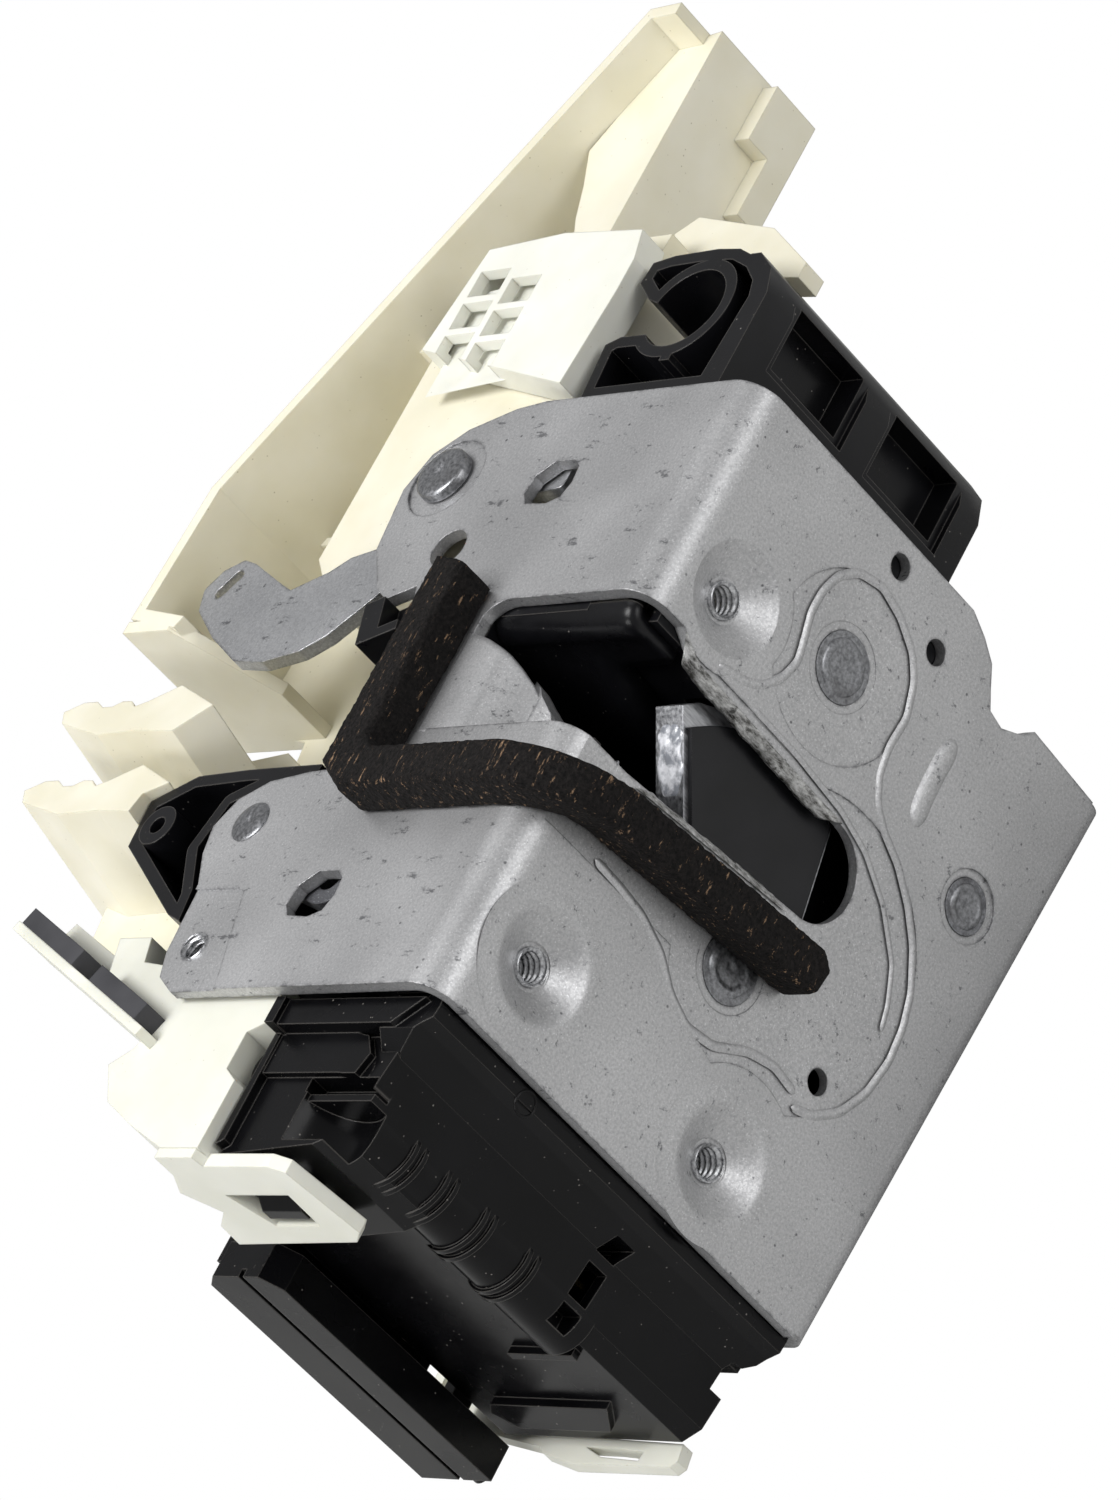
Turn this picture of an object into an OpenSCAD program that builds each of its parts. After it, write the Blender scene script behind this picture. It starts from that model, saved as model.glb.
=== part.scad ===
// Vehicle side-door latch with its power-lock actuator.
// Millimetres. X runs along the bend of the steel plate, Y into the door, Z towards the cabin.
// Origin: centre line of the striker mouth, on the outer faces of both arms of the steel plate.

/* [Steel latch plate] */
// Sheet thickness of the latch plate
plate_t = 1.8; // [1.5:0.1:2.2]
// Outer radius of the bend between the two arms
bend_r = 5; // [4:0.5:6]
// From the mouth centre line to the lower edge of the plate
plate_low = 49.5; // [48:0.5:52]
// From the mouth centre line to the upper edge of the plate
plate_up = 45.5; // [44:0.5:48]
// Depth of the door-face arm at its lower edge, return flange included
face_h_low = 78; // [74:0.2:80]
// Depth of the door-face arm at its upper edge
face_h_up = 83; // [78:0.2:86]
// Reach of the side arm behind the door face
side_reach = 50; // [47:0.5:53]
// Width of the return flange along the outboard edge
flange_w = 7; // [4:0.5:9]
// Radius of the rolled outboard edge
hem_r = 3; // [2.5:0.1:4]
// Sheet thickness of the back plate
back_t = 2; // [1.5:0.1:3]
// Depth of the coined rings and steps
coin_d = 0.4; // [0.2:0.05:0.6]
// Depth of the stamped panel round the mouth, below the mounting face
panel_d = 0.3; // [0.2:0.05:0.5]

/* [Striker mouth] */
// Mouth half width at the bend
mouth_w_in = 10.4; // [9:0.2:11]
// Mouth half width near its closed end
mouth_w_end = 7.1; // [6:0.1:8]
// Depth of the mouth below the side arm
mouth_depth = 51.5; // [48:0.5:54]
// Reach of the mouth into the side arm
mouth_reach = 29; // [26:0.5:30]
// Radius of the curled striker guide lip
lip_r = 15; // [12:0.5:16]

/* [Door screws] */
// Bore radius under the M6 thread
m6_r = 2.5; // [2.4:0.05:2.6]
// Length of the threaded collar
m6_len = 6; // [4:0.5:6.5]
// Radius of the dimple round each screw hole
dimple_r = 7.6; // [7:0.2:9]
// Depth of the dimple
dimple_d = 2.6; // [2:0.1:3]
// Bore radius under the M5 thread of the side tab
m5_r = 2.1; // [2:0.05:2.2]

/* [Claw and pawl] */
// Distance of the claw pivot from the mouth centre line
claw_x = 18.4; // [18:0.1:19]
// Depth of the claw pivot below the side arm
claw_z = 39.4; // [39:0.1:40]
// Shank radius of both pivot rivets
pivot_r = 4; // [3.6:0.1:4.4]
// Shank radius of the stop rivet
stop_r = 3; // [2.6:0.1:3.4]
// How far a rivet head stands over its shank
head_over = 0.8; // [0.6:0.05:1]
// Steel thickness of the claw and the pawl
claw_t = 5; // [4.5:0.1:5.2]
// Plastic cover on each face of the claw
jacket_t = 0.7; // [0.5:0.1:0.8]
// Radius of the striker slot in the claw
slot_r = 5.4; // [5:0.1:5.6]
// Tip radius of the leg that the striker pushes
leg_r = 33.6; // [33:0.1:33.8]
// Opening angle of the claw at rest
claw_open = 35.6; // [34:0.2:36.4]
// Distance of the pawl pivot from the mouth centre line
pawl_x = 24.7; // [24.4:0.1:25.4]
// Depth of the pawl pivot below the side arm
pawl_z = 33.2; // [33:0.1:33.8]
// Boss radius of the pawl
pawl_boss_r = 7; // [6:0.1:7.4]
// Distance from the face plate to the moving plates
layer_gap = 1.7; // [1.5:0.1:2]
// Running clearance of a pin in its bore
run_gap = 0.05; // [0.03:0.01:0.08]
// Clearance between parts that face each other
fit_gap = 0.3; // [0.2:0.05:0.4]

/* [Latch housing] */
// Wall thickness of the black mouldings
wall = 1.8; // [1.5:0.1:2.2]
// Depth of the striker pocket behind the door face
pocket_reach = 29; // [26:0.5:30]
// Height of the cable clip block below the side arm
clip_h = 48; // [40:1:54]
// Inner radius of the cable clip
clip_r = 6.5; // [6:0.1:7]
// Depth of the cable clip ring
clip_deep = 9; // [7:0.5:12]

/* [Side cover] */
// Thickness of the side cover skin
cover_t = 2; // [1.6:0.1:2.4]
// Lowest edge of the side cover
cover_low = 75.2; // [74:0.2:77]
// Reach of the connector hood beyond the plate
hood_reach = 21.4; // [20:0.2:22]
// Width of the connector hood
hood_w = 31; // [29:0.2:32]
// Depth of the connector hood
hood_d = 18.5; // [16:0.5:22]
// Length of the rail
rail_len = 46; // [40:1:50]
// Width of the rail
rail_w = 13.5; // [10:0.5:15]
// Radius of the ribbed ridge
ridge_r = 4.5; // [4.3:0.1:4.8]

/* [Actuator case] */
// Wall thickness of the cream mouldings
case_wall = 2; // [1.6:0.1:2.4]
// Height of the tray wall
tray_h = 26.5; // [24:0.5:28]
// Furthest reach of the tray behind the door face
tray_reach = 103; // [100:0.5:106]
// Upper end of the tray
tray_end = 118.5; // [112:0.5:122]
// Depth of the gear box under the tray
box_low = 80; // [76:0.5:81]
// Reach of the gear box behind the door face
box_reach = 62; // [60:0.5:66]
// Thickness of the white cover
lid_t = 2; // [1.6:0.1:2.4]

/* [Lock drive] */
// Radius of the motor can
motor_r = 11; // [9:0.5:11.5]
// Length of the motor can
motor_len = 30; // [26:0.5:31]
// Teeth of the worm wheel
wheel_teeth = 40; // [40]
// Pitch radius of the worm wheel
wheel_r = 15; // [14.8:0.1:15.2]
// Thickness of the worm wheel rim
wheel_t = 4; // [3:0.5:5]
// Throw of the drive pin on the worm wheel
crank_r = 7.4; // [7:0.1:8]
// Turn of the worm wheel from one lock position to the other
wheel_turn = 80; // [80]

/* [Levers] */
// Thickness of the steel levers
lever_t = 2; // [1.6:0.1:2.4]
// Gap between the side arm and the levers under it
lever_gap = 0.4; // [0.3:0.05:0.6]
// Shank radius of the lever pins
lever_pin_r = 3; // [2.6:0.1:3.4]

/* [Seal] */
// Width of the foam seal
foam_w = 6.2; // [5:0.2:8]
// Height of the foam seal
foam_h = 6.6; // [6:0.2:8]

/* [Hidden] */
$fn = 48;

// Levels along Y of the latch layers
moving_y = plate_t + layer_gap;
layer_end = moving_y + claw_t + layer_gap;
floor_end = layer_end + wall;
back_y = floor_end + fit_gap;
back_end = back_y + back_t;
lever_y = back_end + 2;
pin_off = [7.5, 6.5];
drive_pin_r = 2;
clip_at = [plate_up + 16, 25.2];
release_arm_y = 32;
claw_at = [-claw_x, -claw_z];
pawl_at = [pawl_x, -pawl_z];
stop_at = [13.3, -68.9];
screws = [[19.8, -13.1], [-37.4, -13.5], [-39.5, -51.9]];
spare_holes = [[41.6, -33.7], [36.6, -45.2], [-21.1, -60.1]];
spare_r = 1.8;
tab_hole = [-42.8, 50.2];
release_at = [33.6, 51.9];
inside_at = [-23.2, 52.4];
inside_eye = inside_at + [-8, -19];
mouth_off = 1;
lever_top = -plate_t - lever_gap;
housing_top = -plate_t - 0.2;

// Gear train
pitch = 2 * PI * wheel_r / wheel_teeth;
worm_root = 2.2;
worm_rise = 1.1;
worm_mid = worm_root + worm_rise;
worm_r = worm_mid + worm_rise;
axis_gap = 19;
wheel_at = [8, 47, -46];
worm_z = wheel_at[2] - axis_gap;
slide_travel = 2 * crank_r * sin(wheel_turn / 2);
box_y0 = 32;
box_x0 = -46;
box_x1 = 60;
motor_x = wheel_at[0] - 16 - motor_len;
worm_end = wheel_at[0] + 13;
shaft_r = 1.5;
axle_r = 2.5;
crank_pin_r = 1.6;
slide_y = wheel_at[1] - wheel_t / 2 - 4.6;
slide_t = 3.6;
slide_h = 12;
slide_z = wheel_at[2] + crank_r * (1 + cos(wheel_turn / 2)) / 2;
lid_screws = [[-40.2, -33], [54, -33], [54, -74]];

// Sheet parallel to the door face; its outline is drawn in X and Z
module on_face(y0, t) {
    translate([0, y0 + t, 0]) rotate([90, 0, 0]) linear_extrude(t) children();
}

// Sheet parallel to the side arm; its outline is drawn in X and Y
module on_side(z_top, t) {
    translate([0, 0, z_top - t]) linear_extrude(t) children();
}

// Sheet square to X; its outline is drawn in Y and Z
module on_end(x0, t) {
    translate([x0, 0, 0]) rotate([90, 0, 90]) linear_extrude(t) children();
}

// Cylinder along Y from y0 to y1 at a place given in X and Z
module peg(at, r, y0, y1, r_far = -1) {
    translate([at[0], y0, at[1]]) rotate([-90, 0, 0])
        cylinder(r1 = r, r2 = r_far < 0 ? r : r_far, h = y1 - y0);
}

// Rounds every corner of an outline
module rounded(r) {
    offset(r, $fn = 20) offset(-r) children();
}

// Two discs joined by a straight bar
module bar(a, ra, b, rb) {
    hull() {
        translate(a) circle(ra, $fn = 32);
        translate(b) circle(rb, $fn = 32);
    }
}

// Outline of the door-face arm, in X and Z
module face_outline() {
    polygon([[-plate_low, -bend_r + 0.01], [-plate_low - 0.5, -face_h_low + hem_r],
        [plate_up - 6.7, -face_h_up + hem_r],
        [plate_up - 5.9, -65.8], [plate_up - 8, -63.6], [plate_up - 9.4, -60.5], [plate_up - 8.8, -57.6],
        [plate_up - 6.4, -56], [plate_up - 3.6, -54.3], [plate_up - 1.6, -51.2], [plate_up, -47.6],
        [plate_up, -bend_r + 0.01]]);
}

// Outline of the side arm, in X and Y
module side_outline() {
    polygon([[-plate_low, bend_r - 0.01], [plate_up, bend_r - 0.01], [plate_up, 40], [plate_up - 0.8, side_reach - 4.8],
        [plate_up - 3.6, side_reach + 2.8], [plate_up - 7.4, side_reach + 7.6],
        [plate_up - 13.2, side_reach + 9.6], [22, side_reach + 8.2], [15, side_reach + 3.4], [9, 44],
        [-15, 40], [-15.4, 46], [-16.6, side_reach + 3], [-19.4, side_reach + 7.6],
        [-23.6, side_reach + 9.6], [-28, side_reach + 8.6], [-33, side_reach + 6], [-43.5, side_reach + 5.3],
        [-plate_low + 2, side_reach + 3.8], [-plate_low - 0.4, side_reach]]);
}

// Striker mouth as it is cut in the door-face arm, in X and Z
module mouth_in_face() {
    end_z = -mouth_depth + mouth_w_end;
    polygon([[mouth_off - mouth_w_in, 1], [mouth_off + mouth_w_in, 1], [mouth_off + mouth_w_in, -bend_r - 3],
        [mouth_off + mouth_w_in - 2.4, -bend_r - 7.5], [mouth_off + mouth_w_end, end_z],
        [mouth_off - mouth_w_end, end_z], [mouth_off - mouth_w_in, -bend_r - 6]]);
    translate([mouth_off, end_z]) circle(mouth_w_end);
}

// Striker mouth as it is cut in the side arm, in X and Y
module mouth_in_side() {
    corner = 4;
    translate([mouth_off - mouth_w_in, -1]) square([2 * mouth_w_in, mouth_reach + 1 - corner]);
    translate([mouth_off - mouth_w_in, -1]) square([2 * mouth_w_in - corner, mouth_reach + 1]);
    translate([mouth_off + mouth_w_in - corner, mouth_reach - corner]) circle(corner);
}

// Plan of the curled guide tongue
module tongue_outline() {
    polygon([[mouth_off - mouth_w_in - 0.5, mouth_reach + 0.2], [6.4, mouth_reach + 0.2], [5.6, 26], [4, 22],
        [1, 18], [-1.8, 16], [-5.5, 15], [mouth_off - mouth_w_in - 0.5, 15]]);
}

// Lozenge slot for the riveting tool
module tool_slot(at) {
    translate(at) polygon([[-1.6, 4.2], [1.3, 3.8], [3.5, 1.3], [3.5, -2.4], [2.3, -3.9], [-0.5, -4.2],
        [-2.8, -3.4], [-3.7, -1.2], [-3.4, 2.8]]);
}

// Dimple pressed inwards round one screw hole
module dimple(at) {
    peg(at, dimple_r, plate_t - 0.01, plate_t + dimple_d, m6_r + 2.6);
    peg(at, m6_r + 1.9, plate_t, dimple_d + m6_len);
}

module dimple_cut(at) {
    peg(at, dimple_r, -0.01, dimple_d, m6_r + 0.6);
    peg(at, m6_r, -1, dimple_d + m6_len + 1);
}

// Quarter bend in a sheet, its corner at the origin, drawn in two directions away from the corner
module bend_arc(r, t) {
    intersection() {
        translate([r, -r]) difference() {
            circle(r);
            circle(r - t);
        }
        translate([0, -r]) square(r);
    }
}

// Outboard edge of the door-face arm: a bend and a short return flange
module outboard_flange() {
    rise = face_h_up - face_h_low;
    run = plate_low + plate_up - 6.2;
    translate([-plate_low - 0.5, 0, -face_h_low]) rotate([0, atan2(rise, run), 0])
        on_end(0.4, sqrt(rise * rise + run * run) - 0.8) {
            mirror([0, 1]) bend_arc(hem_r, plate_t);
            translate([hem_r - 0.01, 0]) square([flange_w - hem_r, plate_t]);
        }
}

module latch_plate() color("silver") difference() {
    union() {
        on_face(0, plate_t) face_outline();
        on_side(0, plate_t) side_outline();
        on_end(-plate_low, plate_low + plate_up) bend_arc(bend_r, plate_t);
        for (s = screws) dimple(s);
        outboard_flange();
        // curled guide lip at the far edge of the mouth
        intersection() {
            on_end(mouth_off - mouth_w_in - 0.5, 2 * mouth_w_in) translate([mouth_reach, -lip_r]) difference() {
                circle(lip_r);
                circle(lip_r - plate_t);
            }
            translate([0, 0, -lip_r]) linear_extrude(lip_r + 1) tongue_outline();
        }
        // drawn collar of the side screw
        peg_side(tab_hole, m5_r + 1.6, -plate_t - 3, -plate_t + 0.1);
        // drawn collars that guide the two lever pins
        peg_side(inside_at, lever_pin_r + 1, -lever_top_gap(), -plate_t + 0.1);
    }
    on_face(-1, plate_t + bend_r + 2) mouth_in_face();
    on_side(1, plate_t + bend_r) intersection() {
        mouth_in_side();
        translate([-30, -1]) square([60, mouth_reach + 0.8]);
    }
    on_face(-1, 1 + panel_d) panel_outline();
    for (s = screws) dimple_cut(s);
    for (h = spare_holes) peg(h, spare_r, -1, plate_t + 1);
    for (r = [[claw_at, pivot_r], [pawl_at, pivot_r], [stop_at, stop_r]]) {
        peg(r[0], r[1] + head_over + 0.05, -1, plate_t + 1);
        peg(r[0], r[1] + head_over + 1.2, -1, coin_d);
    }
    on_side(1, plate_t + 2) {
        tool_slot([31, 30]);
        tool_slot([-35.2, 31.9]);
        translate([21.1, 43.4]) circle(3);
        translate([9.3, 48]) rotate(20) square([9, 8.6], center = true);
    }
    // recessed step of the side tab
    on_side(1, 1 + coin_d) polygon([[-60, 41.3], [-49.3, 41.3], [-34.5, 46], [-33.8, 47.4], [-33.8, 70], [-60, 70]]);
    peg_side(tab_hole, m5_r, -plate_t - 4, 1);
    peg_side(release_at, lever_pin_r, -plate_t - 1, 1);
    peg_side(release_at, lever_pin_r + 3.4, -coin_d, 1);
    peg_side(inside_at, lever_pin_r, -plate_t - 5, 1);
}

// Stamped panel round the mouth, the rivets and the foam strip; it bends round the three dimples
module panel_outline() {
    difference() {
        union() {
            translate(claw_at) circle(11);
            translate(pawl_at) circle(12.8);
            translate([-9.5, -47.5]) circle(21.2);
            translate([-22.4, -45]) square([32.5, 46]);
        }
        translate(screws[0]) circle(dimple_r + 2.6);
        translate(screws[1]) circle(dimple_r + 5);
        translate(screws[2]) circle(dimple_r + 5);
    }
}

function lever_top_gap() = plate_t + lever_gap - 0.1;

// Cylinder along Z from z0 to z1 at a place given in X and Y
module peg_side(at, r, z0, z1, r_far = -1) {
    translate([at[0], at[1], z0]) cylinder(r1 = r, r2 = r_far < 0 ? r : r_far, h = z1 - z0);
}

module back_plate() color("gainsboro") on_face(back_y, back_t) difference() {
    polygon([[-34, -27], [-20, -20], [-11.5, -20], [-11.5, -53], [13, -54], [13, -20], [30, -20], [36, -27],
        [36, -44], [22, -75], [8, -76], [-14, -58], [-30, -52]]);
    translate(claw_at) circle(pivot_r - 1);
    translate(pawl_at) circle(pivot_r - 1);
    translate(stop_at) circle(stop_r - 1);
    pin_slot(0.9);
}

// Rivet between the two plates: flush head, shoulder shank and turned tail
module rivet(at, shank_r) {
    peg(at, shank_r + head_over, panel_d, plate_t);
    peg(at, shank_r, plate_t - 0.01, back_y);
    peg(at, shank_r - 1.03, back_y - 0.01, back_end);
}

module claw_pivot() color("dimgray") {
    rivet(claw_at, pivot_r);
    peg(claw_at, pivot_r + 0.2, back_end - 0.01, back_end + 1.6, pivot_r - 1);
}

// The pawl's pivot runs on behind the back plate and ends in a turned head
module pawl_pivot() color("dimgray") {
    rivet(pawl_at, pivot_r);
    peg(pawl_at, pivot_r - 0.2, back_end - 0.01, lever_y + lever_t + 0.31);
    peg(pawl_at, pivot_r + 1.4, lever_y + lever_t + 0.3, lever_y + lever_t + 1.5, pivot_r + 0.6);
}

module stop_rivet() color("dimgray") {
    rivet(stop_at, stop_r);
    peg(stop_at, stop_r + 0.2, back_end - 0.01, back_end + 1.4, stop_r - 0.8);
}

// Claw outline about its pivot, with the striker slot pointing along +X
module claw_outline() {
    low = 5.2;
    up = low + 2 * slot_r;
    slot_end = 15.2;
    difference() {
        union() {
            circle(13);
            polygon([[0, -13], [18, -21], [25, -18], [29, -8], [leg_r - 1.4, -4], [leg_r - 0.2, low - 3],
                [leg_r - 0.6, low - 0.05], [slot_end, low - 0.05], [9, low + 3], [9, up + 0.2], [25.6, up + 0.2],
                [22, up + 5], [14, up + 8], [0, up + 5], [-10, 8]]);
        }
        hull() {
            translate([slot_end, low + slot_r]) circle(slot_r, $fn = 32);
            translate([50, low + slot_r]) circle(slot_r, $fn = 32);
        }
    }
}

module claw() color("lightsteelblue") on_face(moving_y, claw_t) difference() {
    translate(claw_at) rotate(claw_open) claw_outline();
    translate(claw_at) circle(pivot_r + run_gap);
}

// Plastic cover moulded over the claw; the striker flank and the leg tip stay bare
module claw_jacket() color([0.12, 0.12, 0.13]) for (y = [moving_y - jacket_t, moving_y + claw_t])
    on_face(y, jacket_t) difference() {
        translate(claw_at) rotate(claw_open) intersection() {
            offset(-0.8) claw_outline();
            union() {
                circle(30.5);
                translate([-20, -30]) square([44, 60]);
            }
        }
        translate(claw_at) circle(pivot_r + 2);
    }

// Flat torsion coil round the claw pivot, with its two legs
module claw_spring() color("gray") {
    y0 = moving_y + claw_t + jacket_t + 0.2;
    translate([claw_at[0], y0 + 0.35, claw_at[1]]) rotate([90, 0, 0])
        rotate_extrude() translate([pivot_r + 0.9, 0]) circle(0.35, $fn = 16);
    peg([claw_at[0] - pivot_r - 0.9, claw_at[1] - 6], 0.35, y0, y0 + 0.7);
}

// Curved slot that the pawl's drive pin sweeps
module pin_slot(extra) {
    translate(pawl_at) for (a = [-4 : 3 : 20]) rotate(a) translate(pin_off) circle(drive_pin_r + extra);
}

// Pawl outline: boss, blocking nose and release tail
module pawl_outline() {
    nose = [-9.6, -14.4];
    circle(pawl_boss_r);
    polygon([[-6.9, 1], nose + [0, 3.2], nose + [-0.6, 0], nose + [2, -2.2], [-2, -10.5], [6, -4]]);
    bar([0, 0], 6, pin_off, 4.4);
}

module pawl() color("slategray") on_face(moving_y, claw_t) difference() {
    translate(pawl_at) pawl_outline();
    translate(pawl_at) circle(pivot_r + run_gap);
}

// Lever on the pawl's pivot behind the back plate; its upper end carries the tab that is pushed
module pawl_lever() color("slategray") {
    tab_x = pawl_at[0] + 3.4;
    peg(pawl_at + pin_off, drive_pin_r, moving_y + claw_t - 0.01, lever_y + 0.01);
    on_face(lever_y, lever_t) difference() {
        union() {
            translate(pawl_at) bar([0, 0], 7, pin_off, 4);
            translate(pawl_at) bar([1, 0], 5.4, [4.4, 22], 2.6);
            translate([tab_x, -12]) square([lever_t, 8]);
        }
        translate(pawl_at) circle(pivot_r - 0.2 + run_gap);
    }
    translate([tab_x, lever_y, -12]) cube([lever_t, release_arm_y - lever_y + 2, 8]);
}

module pawl_spring() color("gray") {
    y0 = back_end + (lever_y - back_end) / 2;
    translate([pawl_at[0], y0, pawl_at[1]]) rotate([90, 0, 0])
        rotate_extrude() translate([pivot_r + 1.2, 0]) circle(0.6, $fn = 16);
    translate([pawl_at[0] - pivot_r - 1.2, y0, pawl_at[1] - 9]) cylinder(r = 0.6, h = 8.3, $fn = 16);
}

// Rubber buffer in the closed end of the striker pocket
module bumper() color([0.1, 0.1, 0.1]) on_face(floor_end, 8) intersection() {
    translate([mouth_off, -38]) circle(mouth_w_in - 1.25);
    translate([-12, -50]) square([26, 7.6]);
}

// Outline of the black housing behind the door-face arm, in X and Z
module housing_outline() {
    polygon([[-plate_low + 1.7, housing_top - 2.5], [-plate_low + 1.7, -face_h_low + 4], [12, -76], [30, -77],
        [plate_up - 9.5, -70], [plate_up - 10.5, -52], [plate_up - 1.6, -45], [plate_up - 1.6, housing_top - 2.5]]);
}

// Space swept by the claw and the pawl, in X and Z
module moving_space() {
    translate(claw_at) circle(leg_r + 0.7);
    translate(pawl_at) circle(pawl_boss_r + 5.4);
    translate([-6, -54]) square([34, 30]);
    translate([20, -36]) square([18, 17]);
}

// Striker pocket, in X and Z
module pocket_space(extra = 0) {
    w = mouth_w_in - 1.2 + extra;
    translate([mouth_off - w, -38]) square([2 * w, 60]);
    translate([mouth_off, -38]) circle(w);
}

// Outline of the cable clip block, in X and Y
module clip_outline() {
    polygon([[plate_up + 1.6, 13], [plate_up + 17, 12], [plate_up + 20.5, 13.2], [plate_up + 23.6, 16.4],
        [plate_up + 25.6, 20.6], [plate_up + 26.1, 25], [plate_up + 25.9, 33], [plate_up + 25.1, 36.8],
        [plate_up + 21.6, 37.2], [plate_up + 18.4, 33.6], [plate_up + 17, 30], [plate_up + 12, 30],
        [plate_up + 12.1, 35], [plate_up + 11, 37.4], [plate_up + 1.6, 36.4]]);
}

// Deep wall of the clip block, beside the door-face arm
module clip_wall_outline() {
    polygon([[plate_up + 1.6, 10.6], [plate_up + 17, 10.6], [plate_up + 21.5, 12.4], [plate_up + 24.4, 16],
        [plate_up + 24.4, clip_at[1] - clip_r - 0.8], [plate_up + 1.6, clip_at[1] - clip_r - 0.8]]);
}

module clip_ring(extra) {
    translate(clip_at) circle(clip_r + extra);
}

// Block with the snap-in clip for the cable and its two deep windows
module clip_block() {
    difference() {
        union() {
            on_side(housing_top, clip_deep) clip_outline();
            on_side(housing_top, clip_h) clip_wall_outline();
        }
        // open pockets between the outer rim and the clip ring
        on_side(housing_top + 1, clip_deep - 1) difference() {
            offset(-wall) clip_outline();
            clip_ring(wall);
            translate([plate_up + 7, 23]) square([5, wall]);
        }
        peg_side(clip_at, clip_r, -clip_h - 5, 1);
        // windows in the wall beside the door-face arm
        for (z = [-23, -44.5]) {
            translate([plate_up + 10, 4, z]) cube([10, 12, 14]);
            translate([plate_up + 8.6, 4, z - 1.2]) cube([12.8, 7.6, 16.4]);
        }
    }
    // neck that joins the block to the housing
    translate([plate_up - 7, floor_end - 3, -46]) cube([9, 9, 36]);
}

// Inner body of the latch housing: tub for the claw, striker pocket and lug
module housing_body() {
    difference() {
        union() {
            on_face(plate_t + 0.1, floor_end - plate_t - 0.1) housing_outline();
            on_face(floor_end - 0.1, pocket_reach + wall - floor_end) intersection() {
                pocket_space(wall);
                translate([-30, -80]) square([60, 80 + housing_top]);
            }
        }
        // chamber of the claw and the pawl
        on_face(plate_t - 1, layer_end - plate_t + 1) intersection() {
            offset(-wall) housing_outline();
            moving_space();
        }
        on_face(plate_t - 1, pocket_reach - plate_t + 1) pocket_space();
        for (s = screws) peg(s, dimple_r + 0.3, 0, floor_end + 1);
        for (at = [claw_at, pawl_at]) peg(at, pivot_r + 0.3, 0, floor_end + 1);
        peg(stop_at, stop_r + 0.3, 0, floor_end + 1);
        on_face(layer_end - 1, 4) pin_slot(0.6);
    }
    // rounded guide column in the pocket
    peg_side([mouth_off + 6.4, 18], 3.2, -36, housing_top - 0.4);
    // lug that stands up through the hole beside the far edge of the mouth
    difference() {
        translate([9.3, 48, housing_top - 9]) rotate([0, 0, 20]) translate([-3.6, -3.4, 0]) cube([7.2, 6.8, 12]);
        translate([9.3, 48, housing_top]) rotate([0, 0, 20]) translate([-2, -5, 0]) cube([8, 5, 12]);
    }
    translate([mouth_off - 3, pocket_reach + wall - 1, housing_top - 9]) cube([10, 18, 3]);
}

// Shelf and walls of the screw bracket beside the side arm
module screw_bracket() {
    on_side(housing_top + 1, 12) difference() {
        bracket_outline();
        offset(-wall) bracket_outline();
    }
    on_side(housing_top - 9, 2) bracket_outline();
    difference() {
        peg_side(bracket_at, 3.1, housing_top - 10, housing_top + 2);
        peg_side(bracket_at, 1.3, housing_top - 8, housing_top + 3);
    }
    difference() {
        translate([-42.6, floor_end - 1, housing_top - 14]) cube([28.6, 48.6, 3]);
        for (at = shelf_screws) peg_side(at, 1.7, -30, 0);
    }
    translate([-42.6, floor_end - 1, housing_top - 14]) cube([28.6, 3, 9]);
}

module latch_housing() color([0.13, 0.13, 0.15]) difference() {
    union() {
        housing_body();
        clip_block();
        screw_bracket();
    }
    // room for the bend of the plate
    translate([-60, -1, -bend_r - 0.2]) cube([plate_up + 60, bend_r + 1.2, 10]);
    // slot for the curled tongue in the wall of the pocket
    on_end(mouth_off - mouth_w_in - 0.8, 3) translate([mouth_reach, -lip_r]) intersection() {
        difference() {
            circle(lip_r + fit_gap);
            circle(lip_r - plate_t - fit_gap);
        }
        translate([-lip_r - 1, -1]) square(2 * lip_r);
    }
}

bracket_at = [-22.9, 71.4];
shelf_screws = [[-38, 46], [-20, 36]];

// Outline of the screw bracket, in X and Y
module bracket_outline() {
    polygon([[-38, 57.4], [-37, 60.2], [-25.4, 76.6], [-18, 77.2], [-14.2, 70], [-13.6, 60], [-13.4, 46],
        [-15, 46], [-15.9, 54], [-19, 60.4], [-26, 62], [-33, 58.2]]);
}

// Release lever outline: cable arm, body round the pivot, and the arm that pushes the pawl lever
module release_outline() {
    polygon([[25, 49.4], [31.2, 45], [31.4, release_arm_y + 3], [32, release_arm_y - 1.6], [35.8, release_arm_y - 1.6],
        [37.4, 45], [40.4, 49], [40.4, 55], [34, 59.2], [24.4, 60.4], [23, 65.9], [20.8, 68.9], [18.2, 75],
        [19.3, 77.4], [23.5, 85.7], [24.4, 88.6], [22.8, 91.9], [19.7, 93.9], [15.9, 92.5], [10.9, 86.2],
        [6.5, 78.8], [5.9, 72.5], [7.3, 65.9], [9.7, 61.9], [15.4, 56.6]]);
}

module release_lever() color("lightgray") on_side(lever_top, lever_t) difference() {
    rounded(1) release_outline();
    translate(release_at) circle(lever_pin_r + run_gap);
    hull() {
        translate([18.9, 90]) circle(1, $fn = 24);
        translate([21.6, 88.2]) circle(1, $fn = 24);
    }
}

// Shouldered pin riveted in the side arm
module lever_pin(at, head_h) {
    peg_side(at, lever_pin_r - 0.02, lever_top - lever_t - 0.3, 0);
    peg_side(at, lever_pin_r + 1.2, 0, head_h, lever_pin_r + 0.8);
    peg_side(at, lever_pin_r + 1.6, lever_top - lever_t - 1.5, lever_top - lever_t - 0.3);
}

module release_pin() color("dimgray") lever_pin(release_at, 1.6);

module inside_pin() color("dimgray") lever_pin(inside_at, 0.5);

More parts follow.
